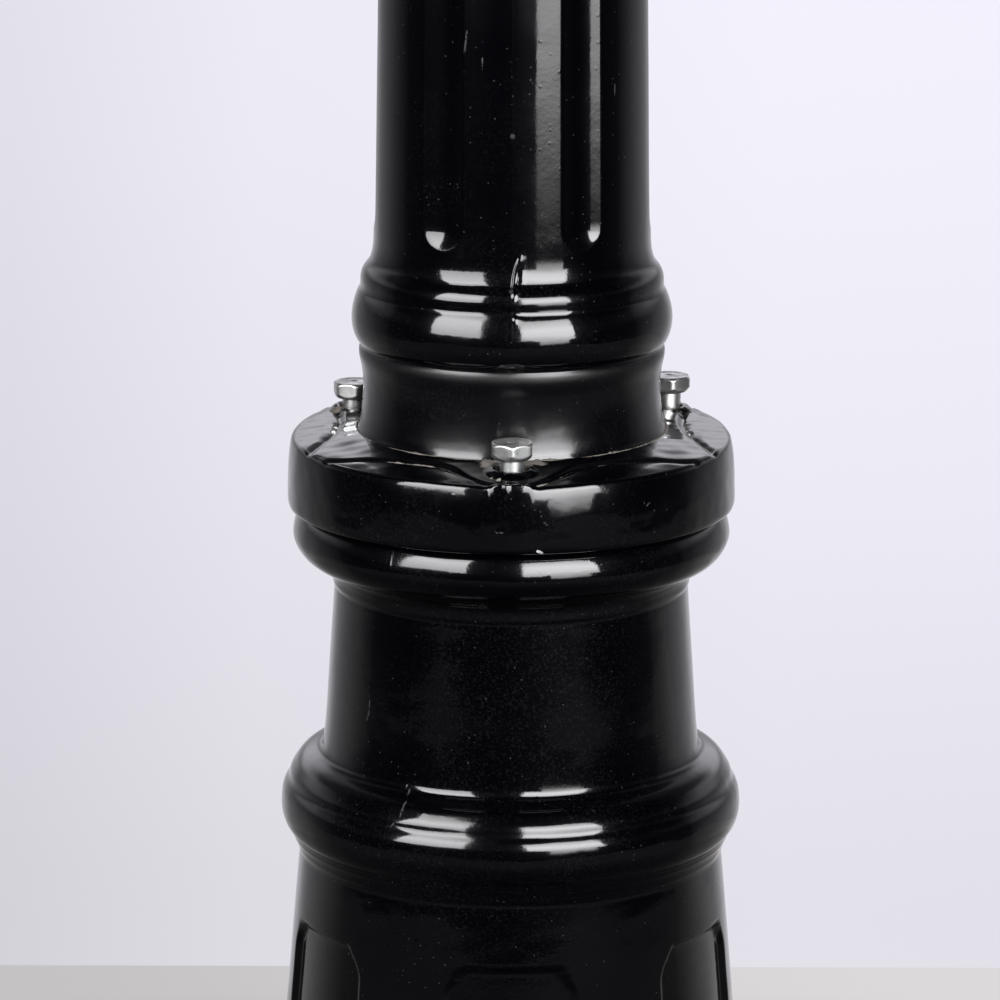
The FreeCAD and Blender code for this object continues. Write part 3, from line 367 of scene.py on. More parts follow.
# ------------------------------------------------------------------ collar
def lobe_edge(A):
    """Radius of the crease between the raised star and the six crescents, at azimuth A."""
    a = np.abs(wrap(A))
    return np.interp(a, [0, 4.0, 7, 10, 14, 17, 20, 24, 30, 36, 42, 48, 51, 54, 57, 60, 64, 67, 71, 76, 80, 84.6, 90, 95, 100, 105, 110.4, 113, 115.8, 118, 120.5, 124, 127.5,
                         131, 134, 138, 142, 147, 153, 158, 163, 168, 172, 176, 180],
                     [73.5, 72.0, 70.0, 67.6, 63.6, 60.6, 58.4, 56.9, 56.3, 57.0, 58.6, 62.3, 65.2, 68.2, 71.2, 76.0, 72.8, 70.4, 66.3, 62.1, 59.3, 57.3, 56.5, 56.4, 56.7, 58.2, 60.4, 62.0, 64.2, 66.4,
                      69.0, 72.6, 74.5, 72.0, 69.0, 65.0, 61.5, 58.6, 57.4, 58.8, 61.5, 65.0, 69.0, 72.5, 75.0])


def rim_height(A):
    """Height of the upper face where it meets the rounded rim."""
    a = np.abs(wrap(A))
    return np.interp(a, [0, 3.4, 4.6, 5.8, 8, 22, 40, 57, 61, 66, 78, 95, 105, 116, 120, 126, 132, 180], [23.8, 23.8, 23.2, 21.7, 21.6, 22.1, 22.2, 22.0, 21.95, 22.3, 22.7, 22.8, 23.0, 23.0, 23.5, 24.3, 24.5, 24.5])


def collar_top(R, A):
    """Height of the collar's upper face over Z0."""
    edge = lobe_edge(A)
    a = np.abs(wrap(A))
    back = 1.4 * step(96.0, 122.0, a)
    cone = PLATEAU_Z - PLATEAU_FALL * (R - NECK_R) + back
    slope = np.gradient(edge, axis=1) / np.gradient(np.radians(np.unwrap(A, period=360.0, axis=1)), axis=1) / edge
    d = (R - edge) / np.sqrt(1 + np.clip(slope, -2.5, 2.5) ** 2)       # across the crease, positive on the crescent
    floor = PLATEAU_Z - PLATEAU_FALL * (edge - NECK_R) - 1.2 + 0.7 * back
    rim = rim_height(A)
    t = np.clip((R - edge) / np.clip(71.5 - edge, 2.0, None), 0, 1)
    lobe = floor + (rim - floor) * t + 0.8 * np.sin(np.pi * t) * step(1.0, 10.0, 71.5 - edge)
    z = cone + (np.minimum(lobe, cone + 0.1) - cone) * step(-1.3, 1.3, d)
    z = z - 0.22 * bell(d - 1.0, 0.8) * step(0.5, 3.0, 72.5 - edge)
    # low bosses under the bolt heads, with a lip that falls away to the rim
    for b in BOLT_AZ:
        w = np.radians(wrap(A - b)) * R
        h = np.hypot(w, (R - BOLT_AT) * np.where(R > BOLT_AT, 1.0, 0.8))
        z = z + (BOSS[b] - z) * (1 - step(6.0, 9.4, h)) * np.where(BOSS[b] > z, 1, 0.6)
    lip = step(68.5, 72.0, R)
    z = z * (1 - lip) + np.minimum(z, rim + 0.35 * (72.0 - R)) * lip
    return z, d, edge


def make_collar():
    wall = curve([(72.9, -0.45), (73.45, -0.25), (73.8, 0.4), (73.97, 1.6), (74.0, 4.0), (73.92, 8.0), (73.78, 12.0), (73.58, 15.0), (73.36, 17.2), (73.04, 19.4), (72.84, 20.4)], 0.8)
    under = line([(54.8, JOINT), (71.4, JOINT), (72.4, -0.6), (72.9, -0.45)], 4.0)
    az = turns(0.75, [(0.0, 9.5, 0.33), (120.0, 9.5, 0.33), (-120.0, 9.5, 0.33)])
    nr = 58
    rtop = np.linspace(71.25, 50.95, nr)
    arc = np.linspace(0, 1, 10)[1:-1]
    rows = []
    Aall = np.asarray(az)[None, :]
    rim = rim_height(Aall)[0]
    for r, z in np.concatenate([under, wall[1:]]):
        rows.append((np.full(len(az), r), z + (rim - 22.4) * step(9.0, 19.5, z), 0))
    rt = np.repeat(rtop[:, None], len(az), 1)
    At = np.repeat(Aall, nr, 0)
    zt, dt, edge = collar_top(rt, At)
    r0, z0 = wall[-1][0], wall[-1][1] + (rim - 22.4)
    zr = zt[0]
    for t in arc:
        b0, b1, b2, b3 = (1 - t) ** 3, 3 * t * (1 - t) ** 2, 3 * t * t * (1 - t), t ** 3
        rr = b0 * r0 + b1 * (r0 - 0.13) + b2 * 72.25 + b3 * rtop[0]
        zz = b0 * z0 + b1 * (z0 + 0.75) + b2 * (zr - 0.05) + b3 * zr
        rows.append((np.full(len(az), rr), zz, 1))
    for i in range(nr):
        rows.append((rt[i], zt[i], 2))
    for r, z in line([(50.8, 24.4), (50.6, 21.0), (50.2, 8.0), (54.8, 7.8), (54.8, 0.3)], 6.0):
        rows.append((np.full(len(az), r), np.full(len(az), z), 3))
    R = np.array([q[0] for q in rows])
    Z = np.array([q[1] for q in rows])
    kind = np.array([q[2] for q in rows])[:, None] * np.ones_like(R)
    A = np.repeat(Aall, len(R), 0)
    X, Y = to_xy(R, A)
    # open the three bolt holes in the upper face
    deep = np.zeros(R.shape, bool)
    for b in BOLT_AZ:
        cx, cy = BOLT_AT * math.sin(math.radians(b)), -BOLT_AT * math.cos(math.radians(b))
        dx, dy = X - cx, Y - cy
        d = np.hypot(dx, dy) + 1e-9
        on = kind == 2
        w, d1 = 7.6, 2.2
        sink = on & (d < d1)
        near = on & (d >= d1) & (d < w)
        # first ring outside the hole is set on the hole's circle
        touch = np.zeros_like(sink)
        for di in (-1, 0, 1):
            for dj in (-1, 0, 1):
                touch |= np.roll(np.roll(sink, di, 0), dj, 1)
        rim_ring = touch & ~sink & on
        nd = BOLT_HOLE + (d - d1) * (w - BOLT_HOLE) / (w - d1)
        nd = np.where(rim_ring, BOLT_HOLE, nd)
        nd = np.where(sink, BOLT_HOLE * 0.96 * np.clip(d / d1, 0, 1), nd)
        mv = near | sink | rim_ring
        X = np.where(mv, cx + dx / d * nd, X)
        Y = np.where(mv, cy + dy / d * nd, Y)
        deep |= sink
    Rn, An = np.hypot(X, Y), np.degrees(np.arctan2(X, -Y))
    top = kind == 2
    hole_d = np.full(R.shape, 99.0)
    for b in BOLT_AZ:
        cx, cy = BOLT_AT * math.sin(math.radians(b)), -BOLT_AT * math.cos(math.radians(b))
        hole_d = np.minimum(hole_d, np.hypot(X - cx, Y - cy))
    zt2, dt2, edge2 = collar_top(Rn, An)
    Z = np.where(top & (hole_d < 8.2), np.where(deep, 12.0, zt2), Z)
    lumps = 0.11 * bell(hole_d - 6.4, 1.3) * wave_short(X, Y, Z * 0) - 0.15 * bell(hole_d - 5.0, 0.7)
    skin = cast_skin(X, Y, Z, 0.045, 0.02, 0.004)
    wig = waves(21, 5, 14, 16)(X, Y, Z * 0.0)
    fade = np.where(kind == 2, step(50.95, 52.0, Rn), np.where(kind == 1, 1.0, np.where(kind == 0, step(0.0, 1.5, Z), 0.0)))
    Z = Z + np.where((kind == 2) & ~deep, (skin * 0.8 + lumps + 0.06 * wig) * fade, 0.0)
    push = np.where(kind <= 1, skin * fade, 0.0)
    rr = np.hypot(X, Y)
    X, Y = X * (1 + push / rr), Y * (1 + push / rr)
    # parting burr on the front of the rim
    pmm = np.radians(An + 1.4) * Rn
    bump = 0.35 * bell(pmm, 0.9) * step(69.0, 71.5, Rn) * step(17.0, 20.5, Z)
    X, Y = X * (1 + bump / rr), Y * (1 + bump / rr)
    # dirt: along the creases, where the neck stands, and round the bolts
    dd = np.where(top, np.abs(dt2 - 0.9) * 1.1 + 0.1 + 0.5 * step(70, 110, np.abs(An)), 9.0)
    dd = np.minimum(dd, np.where(top, np.abs(Rn - 51.2) * 1.0 - 0.1, 9.0))
    ww = np.abs(np.radians(An)) * Rn
    front = 0.3 + 0.3 * np.clip(ww - 9.5, 0, None) + 0.28 * np.clip(Rn - 60.0, 0, None) + 0.25 * np.clip(3.0 - ww, 0, None)
    dd = np.minimum(dd, np.where(top, front, 9.0))
    dd = np.minimum(dd, np.where(top & (np.abs(An) > 90), 0.15 + np.clip(hole_d - 8.5, 0, None) * 0.32 + np.clip(Rn - 66.0, 0, None) * 0.3, 9.0))
    for px_, pr_, ax_, ar_ in ((-8.2, 55.6, 5.0, 6.0), (8.8, 54.6, 5.5, 3.4), (-4.0, 69.0, 1.6, 1.4), (-6.6, 67.0, 1.6, 1.4)):
        dd = np.minimum(dd, np.where(top & (np.abs(An) < 60), np.hypot((X - px_) / ax_, (Rn - pr_) / ar_) * 0.9 - 0.1, 9.0))
    dirt = np.clip(1 - dd / 2.0, 0, 1)
    sx = np.radians(An) * Rn
    scr = near_line(sx, Z, ((-5.6, 8.0), (-4.6, 6.9), (-2.8, 6.9)))
    scr = np.minimum(scr, near_line(sx, Z, ((10.5, 10.2), (11.4, 9.4))))
    scr = np.minimum(scr, near_line(sx, Z, ((45.0, 14.0), (46.2, 12.6), (47.6, 13.4))))
    scr = np.clip(1 - scr / 1.5, 0, 1) * (kind == 0)
    chip = np.clip(1 - near_line(sx, Z, ((8.3, 0.9), (9.8, 0.1))) / 1.5, 0, 1) * (kind == 0)
    return ring_mesh("collar_ring", X + COLLAR_X, Y, Z + Z0, dirt=dirt, scr=scr, chip=chip)


# ------------------------------------------------------------------ hexagon bolts
def make_bolt(name, az, turn, under):
    A = np.arange(0, 360, 3.0)
    hexa = (BOLT_AF / 2) / np.cos(np.radians((A - turn) % 60.0 - 30.0))
    rc = BOLT_AF / math.sqrt(3.0)
    rows = []

    def put(r, z, ms):
        rows.append((r * np.ones(len(A)), z * np.ones(len(A)), ms))
    body = smin(hexa, rc - 0.28, 0.30)
    put(0.02, -34.0, 0)
    put(3.2, -34.0, 0)
    put(3.7, -33.4, 0)
    z = -33.0
    while z < -9.0:                                  # thread, its last turns choked with paint and zinc
        put(3.98, z + 0.15, 0)
        put(3.98, z + 0.30, 0)
        put(3.45, z + 0.72, 0)
        put(3.45, z + 0.85, 0)
        z += 1.25
    for zz, rr in ((-8.6, 3.9), (-7.0, 3.98), (-5.5, 3.88), (-4.2, 4.0), (-3.0, 3.92), (-1.8, 4.02), (-0.9, 3.95)):
        put(rr, zz, 0)
    put(3.95, -0.55, 0)
    put(3.98, -0.02, 0)
    wash = 5.95
    put(wash - 0.25, -0.02, 1)
    put(wash, 0.12, 1)
    rows.append((smin(body, wash + 0.12 + 0 * body, 0.1), 0.32 + 0 * body, 1))
    for zz in np.linspace(0.42, BOLT_HEAD - 0.05, 16):
        # the underside and the top are turned to cones, which cut the corners in arcs
        low = wash + 0.12 + (zz - 0.32) * 0.85
        high = (BOLT_AF / 2 - 0.12) + (BOLT_HEAD - zz) / math.tan(math.radians(33.0)) * 0.78
        r = smin(smin(body, low + 0 * body, 0.12), high + 0 * body, 0.22)
        rows.append((r, zz + 0 * r, 1))
    rt = BOLT_AF / 2 - 0.2
    for f, dz in ((1.0, 0.0), (0.96, 0.06), (0.9, 0.06), (0.82, 0.0), (0.74, -0.10), (0.6, -0.14), (0.35, -0.12), (0.01, -0.12)):
        put(rt * f, BOLT_HEAD + dz, 1)
    R = np.array([q[0] for q in rows])
    Z = np.array([q[1] for q in rows])
    ax, ay = R * np.cos(np.radians(A)), R * np.sin(np.radians(A))
    n = waves(40 + int(abs(az)), 2.0, 6.0, 20)(ax, ay, Z)
    Z = Z + 0.015 * n * (Z > 0.3)
    lean = math.radians(0.8)
    cx, cy = BOLT_AT * math.sin(math.radians(az)), -BOLT_AT * math.cos(math.radians(az))
    th = np.radians(A)
    X = cx + ax + lean * Z * 0.3
    Y = cy + ay
    # the climb of each thread turn is worked out here, but it is multiplied by zero below, so the thread rings stay
    # level
    wind = (A / 360.0 * 1.25)[None, :] * np.array([1.0 if (q[2] == 0 and -33.2 < q[1][0] < -1.6) else 0.0 for q in rows])[:, None]
    ob = ring_mesh(name, X, Y, Z + wind * 0.0 + under)
    return ob


# ------------------------------------------------------------------ materials
class Tree:
    def __init__(self, name):
        self.mat = bpy.data.materials.new(name)
        self.mat.use_nodes = True
        self.t = self.mat.node_tree
        self.t.nodes.clear()
        self.out = self.t.nodes.new("ShaderNodeOutputMaterial")
        self.bsdf = self.t.nodes.new("ShaderNodeBsdfPrincipled")
        self.t.links.new(self.bsdf.outputs[0], self.out.inputs[0])
        tc = self.t.nodes.new("ShaderNodeTexCoord")
        self.co = tc.outputs["Object"]

    def link(self, a, b):
        self.t.links.new(a, b)

    def set(self, **kw):
        for k, v in kw.items():
            s = self.bsdf.inputs[k.replace("_", " ")]
            if isinstance(v, bpy.types.NodeSocket):
                self.link(v, s)
            else:
                s.default_value = v

    def stretch(self, sx, sy, sz):
        n = self.t.nodes.new("ShaderNodeMapping")
        n.inputs["Scale"].default_value = (sx, sy, sz)
        self.link(self.co, n.inputs["Vector"])
        return n.outputs[0]

    def noise(self, scale, detail=2.0, rough=0.5, dist=0.0, vec=None):
        n = self.t.nodes.new("ShaderNodeTexNoise")
        n.inputs["Scale"].default_value = scale
        n.inputs["Detail"].default_value = detail
        n.inputs["Roughness"].default_value = rough
        n.inputs["Distortion"].default_value = dist
        self.link(vec or self.co, n.inputs["Vector"])
        return n.outputs["Fac"]

    def cells(self, scale, vec=None, rnd=1.0):
        """Distance to the nearest cell point, and a random value for the cell."""
        n = self.t.nodes.new("ShaderNodeTexVoronoi")
        n.inputs["Scale"].default_value = scale
        n.inputs["Randomness"].default_value = rnd
        self.link(vec or self.co, n.inputs["Vector"])
        sep = self.t.nodes.new("ShaderNodeSeparateColor")
        self.link(n.outputs["Color"], sep.inputs[0])
        return n.outputs["Distance"], sep.outputs[0], sep.outputs[1]

    def attr(self, name):
        n = self.t.nodes.new("ShaderNodeAttribute")
        n.attribute_name = name
        return n.outputs["Fac"]

    def math(self, op, a, b=None, clamp=False):
        n = self.t.nodes.new("ShaderNodeMath")
        n.operation = op
        n.use_clamp = clamp
        for i, v in enumerate((a, b)):
            if v is None:
                continue
            if isinstance(v, bpy.types.NodeSocket):
                self.link(v, n.inputs[i])
            else:
                n.inputs[i].default_value = v
        return n.outputs[0]

    def ramp(self, v, a, b, lo=0.0, hi=1.0):
        n = self.t.nodes.new("ShaderNodeMapRange")
        n.interpolation_type = "SMOOTHSTEP"
        n.clamp = True
        self.link(v, n.inputs["Value"])
        n.inputs["From Min"].default_value = a
        n.inputs["From Max"].default_value = b
        n.inputs["To Min"].default_value = lo
        n.inputs["To Max"].default_value = hi
        return n.outputs["Result"]

    def mix(self, f, a, b):
        n = self.t.nodes.new("ShaderNodeMix")
        n.data_type = "RGBA"
        for s, v in ((n.inputs["Factor"], f), (n.inputs["A"], a), (n.inputs["B"], b)):
            if isinstance(v, bpy.types.NodeSocket):
                self.link(v, s)
            else:
                s.default_value = v
        # colour sockets sit at fixed places in this node
        for key, v in (("A", a), ("B", b)):
            s = [q for q in n.inputs if q.name == key and q.type == "RGBA"][0]
            if isinstance(v, bpy.types.NodeSocket):
                self.link(v, s)
            else:
                s.default_value = v
        f_s = [q for q in n.inputs if q.name == "Factor" and q.type == "VALUE"][0]
        if isinstance(f, bpy.types.NodeSocket):
            self.link(f, f_s)
        else:
            f_s.default_value = f
        return [q for q in n.outputs if q.type == "RGBA"][0]

    def bump(self, h, dist, strength=1.0, normal=None):
        n = self.t.nodes.new("ShaderNodeBump")
        n.inputs["Distance"].default_value = dist
        n.inputs["Strength"].default_value = strength
        self.link(h, n.inputs["Height"])
        if normal:
            self.link(normal, n.inputs["Normal"])
        return n.outputs[0]


def rgb(r, g, b):
    return (r, g, b, 1.0)


def paint(name, worn=1.0):
    """Gloss black paint on a sand casting, with dust and dirt in its creases."""
    t = Tree(name)
    peel = t.noise(620.0, 3.0, 0.55)
    lumps = t.noise(120.0, 2.0, 0.5)
    cast = t.noise(1500.0, 2.0, 0.6)
    h = t.bump(lumps, 0.00004, 0.35)
    h = t.bump(peel, 0.000022, 0.55, h)
    # small grains under the paint
    gd, gr, _ = t.cells(330.0)
    ripple = t.noise(520.0, 2.0, 0.5, vec=t.stretch(1.0, 1.0, 0.5))
    h = t.bump(ripple, 0.00001, 0.5, h)
    grain = t.math("MULTIPLY", t.ramp(gd, 0.0, 0.30, 1.0, 0.0), t.ramp(gr, 0.72, 0.80))
    h = t.bump(grain, 0.00002, 0.7, h)
    # dust: fine specks everywhere, a few larger ones
    field = t.noise(22.0, 3.0, 0.6)
    d1, r1, q1 = t.cells(520.0)
    size1 = t.math("MULTIPLY", t.ramp(q1, 0.0, 1.0, 0.06, 0.15), 1.0)
    speck1 = t.math("MULTIPLY", t.ramp(t.math("SUBTRACT", d1, size1), -0.04, 0.02, 1.0, 0.0), t.ramp(t.math("ADD", r1, t.math("MULTIPLY", field, 0.9)), 1.10, 1.20))
    d2, r2, q2 = t.cells(150.0)
    size2 = t.ramp(q2, 0.0, 1.0, 0.02, 0.055)
    speck2 = t.math("MULTIPLY", t.ramp(t.math("SUBTRACT", d2, size2), -0.02, 0.01, 1.0, 0.0), t.ramp(r2, 0.80, 0.84))
    d3, r3, q3 = t.cells(46.0, vec=t.stretch(1.0, 1.0, 0.8))
    size3 = t.ramp(q3, 0.0, 1.0, 0.008, 0.020)
    speck3 = t.math("MULTIPLY", t.ramp(t.math("SUBTRACT", d3, size3), -0.01, 0.004, 1.0, 0.0), t.ramp(r3, 0.84, 0.87))
    # lint: short thin strokes
    d4, r4, _ = t.cells(105.0, vec=t.stretch(1.0, 1.0, 0.22))
    lint = t.math("MULTIPLY", t.ramp(d4, 0.015, 0.03, 1.0, 0.0), t.ramp(r4, 0.86, 0.9))
    speck = t.math("MAXIMUM", t.math("MAXIMUM", t.math("MULTIPLY", speck1, 0.26), t.math("MULTIPLY", speck2, 0.34)), t.math("MAXIMUM", t.math("MULTIPLY", speck3, 0.9), t.math("MULTIPLY", lint, 0.3)))
    haze = t.math("MULTIPLY", t.ramp(t.noise(9.0, 4.0, 0.65, 0.6), 0.42, 0.75), t.ramp(t.noise(1150.0, 2.0, 0.7), 0.48, 0.72))
    dust = t.math("MAXIMUM", speck, t.math("MULTIPLY", haze, 0.05), clamp=True)
    # dirt and filler in the creases
    dirt = t.attr("dirt")
    breakup = t.noise(260.0, 4.0, 0.65)
    patch = t.noise(55.0, 2.0, 0.5)
    thick = t.math("ADD", dirt, t.math("MULTIPLY", t.math("SUBTRACT", breakup, 0.5), 0.75))
    thick = t.math("ADD", thick, t.math("MULTIPLY", t.math("SUBTRACT", patch, 0.5), 0.9))
    grime = t.math("MULTIPLY", t.ramp(thick, 0.86, 1.02), t.ramp(dirt, 0.25, 0.5))
    # scratches and chips
    s = t.attr("scr")
    scratch = t.math("MULTIPLY", t.ramp(s, 0.74, 0.86), t.ramp(t.noise(600.0, 2.0, 0.6), 0.38, 0.5))
    chip = t.ramp(t.math("ADD", t.attr("chip"), t.math("MULTIPLY", breakup, 0.3)), 0.78, 0.84)
    pit = t.attr("pits")
    pd, pr, pq = t.cells(190.0)
    hole = t.math("MULTIPLY", t.ramp(pd, 0.10, 0.22, 1.0, 0.0), t.math("MULTIPLY", t.ramp(pit, 0.62, 0.8), t.ramp(pr, 0.45, 0.5)))
    h = t.bump(hole, 0.0003, -1.0, h)
    h = t.bump(t.math("MULTIPLY", scratch, 1.0), 0.00006, -1.0, h)
    h = t.bump(t.math("MULTIPLY", grime, breakup), 0.00018, 1.0, h)
    base = t.mix(haze, rgb(0.0002, 0.0002, 0.0006), rgb(0.0006, 0.0005, 0.0012))
    base = t.mix(dust, base, rgb(0.085, 0.083, 0.082))
    base = t.mix(t.math("MULTIPLY", scratch, 0.6), base, rgb(0.06, 0.06, 0.062))
    base = t.mix(t.math("MULTIPLY", hole, 0.35), base, rgb(0.08, 0.08, 0.08))
    gcol = t.mix(t.ramp(patch, 0.35, 0.65), rgb(0.085, 0.068, 0.052), rgb(0.20, 0.185, 0.165))
    base = t.mix(grime, base, gcol)
    base = t.mix(chip, base, rgb(0.35, 0.35, 0.36))
    cover = t.math("MAXIMUM", t.math("MAXIMUM", grime, chip), t.math("MULTIPLY", speck, 0.8), clamp=True)
    rough = t.ramp(t.noise(34.0, 4.0, 0.6), 0.3, 0.7, 0.045, 0.115)
    rough = t.math("ADD", rough, t.math("MULTIPLY", haze, 0.05))
    rough = t.math("ADD", rough, t.math("MULTIPLY", t.attr("dull"), 0.12))
    rough = t.math("ADD", rough, t.math("MULTIPLY", cover, 0.5))
    t.set(Base_Color=base, Roughness=t.math("MAXIMUM", t.ramp(haze, 0.0, 1.0, 0.30, 0.36), cover), Normal=h, IOR=1.09, Coat_Weight=t.math("SUBTRACT", 1.0, cover, True), Coat_Roughness=rough,
          Coat_IOR=1.5, Coat_Normal=h)
    return t.mat


def metal(name, col, rough, scale=900.0, spots=None, metallic=1.0, streak=None):
    t = Tree(name)
    n = t.noise(scale, 3.0, 0.6)
    blotch = t.noise(scale / 9.0, 3.0, 0.6)
    vec = t.stretch(*streak) if streak else None
    fine = t.noise(scale * 1.6, 2.0, 0.6, vec=vec) if vec else n
    c = t.mix(t.ramp(blotch, 0.3, 0.7), rgb(*col), rgb(*(0.72 * v for v in col)))
    if spots:
        c = t.mix(t.ramp(t.noise(scale / 3.0, 4.0, 0.7), 0.60, 0.72), c, rgb(*spots))
    r = t.ramp(blotch, 0.3, 0.7, rough * 0.8, rough * 1.3)
    t.set(Base_Color=c, Metallic=metallic, Roughness=r, Normal=t.bump(fine, 0.00003, 0.5))
    return t.mat


def plastic(name, col, rough, worn=(0.3, 0.28, 0.25)):
    t = Tree(name)
    n = t.noise(800.0, 2.0, 0.5)
    blotch = t.noise(60.0, 3.0, 0.6)
    c = t.mix(t.ramp(blotch, 0.35, 0.7), rgb(*col), rgb(*(0.85 * v for v in col)))
    c = t.mix(t.ramp(t.noise(240.0, 4.0, 0.7), 0.66, 0.78, 0.0, 0.4), c, rgb(*worn))
    t.set(Base_Color=c, Roughness=t.ramp(blotch, 0.3, 0.7, rough * 0.85, rough * 1.2), Normal=t.bump(n, 0.00003, 0.5))
    return t.mat


def glass(name):
    t = Tree(name)
    wavy = t.noise(38.0, 2.0, 0.5, 0.4)
    d, r, _ = t.cells(210.0)
    seed = t.math("MULTIPLY", t.ramp(d, 0.05, 0.13, 1.0, 0.0), t.ramp(r, 0.7, 0.75))
    h = t.bump(wavy, 0.0006, 0.35)
    h = t.bump(seed, 0.0002, 0.7, h)
    t.set(Base_Color=rgb(0.93, 0.96, 0.95), Transmission_Weight=1.0, IOR=1.5, Normal=h,
          Roughness=t.ramp(t.noise(70.0, 3.0, 0.6), 0.3, 0.75, 0.01, 0.09))
    return t.mat


def opal(name):
    t = Tree(name)
    f = t.noise(500.0, 3.0, 0.6)
    c = t.mix(t.ramp(t.noise(40.0, 3.0, 0.5), 0.3, 0.7), rgb(0.80, 0.79, 0.76), rgb(0.72, 0.71, 0.68))
    t.set(Base_Color=c, Roughness=t.ramp(f, 0.3, 0.7, 0.22, 0.36), Subsurface_Weight=0.35, Normal=t.bump(f, 0.00002, 0.5))
    t.bsdf.inputs["Subsurface Radius"].default_value = (0.004, 0.004, 0.004)
    return t.mat


PAINT = paint("paint_black_gloss")
ZINC = metal("zinc_plate", (0.74, 0.75, 0.74), 0.36, 1500.0, spots=(0.42, 0.40, 0.36))
STEEL = metal("bare_steel_plate", (0.50, 0.50, 0.49), 0.34, 700.0, spots=(0.22, 0.17, 0.12), streak=(1.0, 1.0, 0.15))
BRASS = metal("cap_metal", (0.72, 0.66, 0.50), 0.26, 900.0, spots=(0.30, 0.24, 0.14))
PORC = plastic("porcelain_white", (0.74, 0.73, 0.70), 0.16, (0.45, 0.41, 0.34))
GREY = plastic("terminal_housing", (0.36, 0.37, 0.38), 0.42)
LEAD = plastic("cable_sleeve", (0.55, 0.55, 0.53), 0.45)
GLASS = glass("pane_clear_glass")
OPAL = opal("lamp_opal")
BY_SLOT = {"cast_black": PAINT, "zinc_steel": ZINC, "pane_glass": GLASS, "bulb_glass": OPAL, "cap_brass": BRASS,
           "porcelain": PORC, "terminal_grey": GREY, "steel_plate": STEEL, "lead_sleeve": LEAD}

# ------------------------------------------------------------------ carried-over nodes take their finish from the record's slots
slot_of = {}
for node in frame["record"].get("nodes", []):
    slot_of[node.get("name")] = node.get("material_slot") or node.get("material") or node.get("slot")
for name, ob in NODES.items():
    slots = [m.name.split(".")[0] for m in ob.data.materials if m]
    key = next((s for s in slots if s in BY_SLOT), slot_of.get(name))
    mat = BY_SLOT.get(key, PAINT)
    if not ob.data.materials:
        ob.data.materials.append(mat)
    for i in range(len(ob.data.materials)):
        ob.material_slots[i].material = mat

# ------------------------------------------------------------------ the castings and bolts in the photograph
column = make_column()
base = make_base()
collar = make_collar()
bolts = [make_bolt("bolt_%d" % (i + 1), az, t, u) for i, (az, t, u) in enumerate(zip(BOLT_AZ, BOLT_TURN, BOLT_UNDER))]
for ob, node, mat, slot in [(column, "column", PAINT, "cast_black"), (base, "base_casting", PAINT, "cast_black"), (collar, "clamp_collar", PAINT, "cast_black")] + \
        [(b, "coupling_bolts", ZINC, "zinc_steel") for b in bolts]:
    ob.data.materials.append(mat)
    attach(ob, "root")
    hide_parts(node)

# ------------------------------------------------------------------ floor
FAR, WIDE, NEAR = 1.38, 3.0, -3.2
fm = bpy.data.meshes.new("floor")
fm.from_pydata([(-WIDE, NEAR, 0), (WIDE, NEAR, 0), (WIDE, FAR, 0), (-WIDE, FAR, 0)], [], [(0, 1, 2, 3)])
floor = bpy.data.objects.new("floor", fm)
bpy.context.scene.collection.objects.link(floor)
ft = Tree("floor_pale")
fc = ft.mix(ft.ramp(ft.noise(3.0, 3.0, 0.6), 0.3, 0.7), rgb(0.46, 0.445, 0.445), rgb(0.44, 0.425, 0.425))
fp = ft.t.nodes.new("ShaderNodeSeparateXYZ")
ft.link(ft.co, fp.inputs[0])
# painted light: the floor glows by its own emission, brighter behind the post, with painted shade towards the front
# and near the post
fdist = ft.math("SQRT", ft.math("ADD", ft.math("MULTIPLY", fp.outputs[0], fp.outputs[0]), ft.math("MULTIPLY", fp.outputs[1], fp.outputs[1])))
fcos = ft.math("DIVIDE", fp.outputs[1], ft.math("MAXIMUM", fdist, 0.05))
floor_painted_glow = ft.t.nodes.new("ShaderNodeValToRGB")
ft.link(ft.math("ADD", ft.math("MULTIPLY", fcos, 0.5), 0.5), floor_painted_glow.inputs[0])
fel = floor_painted_glow.color_ramp.elements
fpos = lambda deg: 0.5 - 0.5 * math.cos(math.radians(deg))
painted_glow_stops = [(0.0, 0.085), (fpos(60), 0.075), (fpos(98), 0.07), (fpos(112), 0.22), (fpos(122), 0.33), (fpos(145), 0.46), (fpos(156), 0.60), (1.0, 0.64)]
while len(fel) < len(painted_glow_stops):
    fel.new(0.5)
for k, (p, c) in enumerate(painted_glow_stops):
    fel[k].position = p
    fel[k].color = (c, 0.975 * c, 0.985 * c, 1.0)
# painted light: the glow is a little brighter to the right, and painted shade darkens it within reach of the post
painted_glow_side = ft.ramp(fp.outputs[0], -0.30, 0.30, 0.82, 1.08)
painted_shade_near_post = ft.ramp(fdist, 1.15, 1.36, 0.60, 0.965)
ft.set(Base_Color=fc, Roughness=0.75, Normal=ft.bump(ft.noise(400.0, 3.0, 0.6), 0.0002, 0.4), Emission_Color=floor_painted_glow.outputs[0],
       Emission_Strength=ft.math("MULTIPLY", ft.math("MULTIPLY", ft.ramp(fdist, 0.35, 1.2), painted_glow_side), painted_shade_near_post))
fm.materials.append(ft.mat)

# ------------------------------------------------------------------ studio light
def softbox(name, az, dist, z_mid, w, h, power, tone=(1.0, 1.0, 1.0), aim_z=0.62):
    li = bpy.data.lights.new(name, "AREA")
    li.shape = "RECTANGLE"
    li.size, li.size_y = w, h
    li.energy = power
    li.color = tone
    ob = bpy.data.objects.new(name, li)
    a = math.radians(az)
    ob.location = (dist * math.sin(a), -dist * math.cos(a), z_mid)
    d = Vector((0, 0, aim_z)) - ob.location
    d.z = 0.0 if abs(z_mid - aim_z) < 0 else d.z * 0.0
    ob.rotation_euler = d.to_track_quat("-Z", "Y").to_euler()
    ob.visible_camera = False
    bpy.context.scene.collection.objects.link(ob)
    return ob


def radiance(L, w, h):
    return L * math.pi * w * h


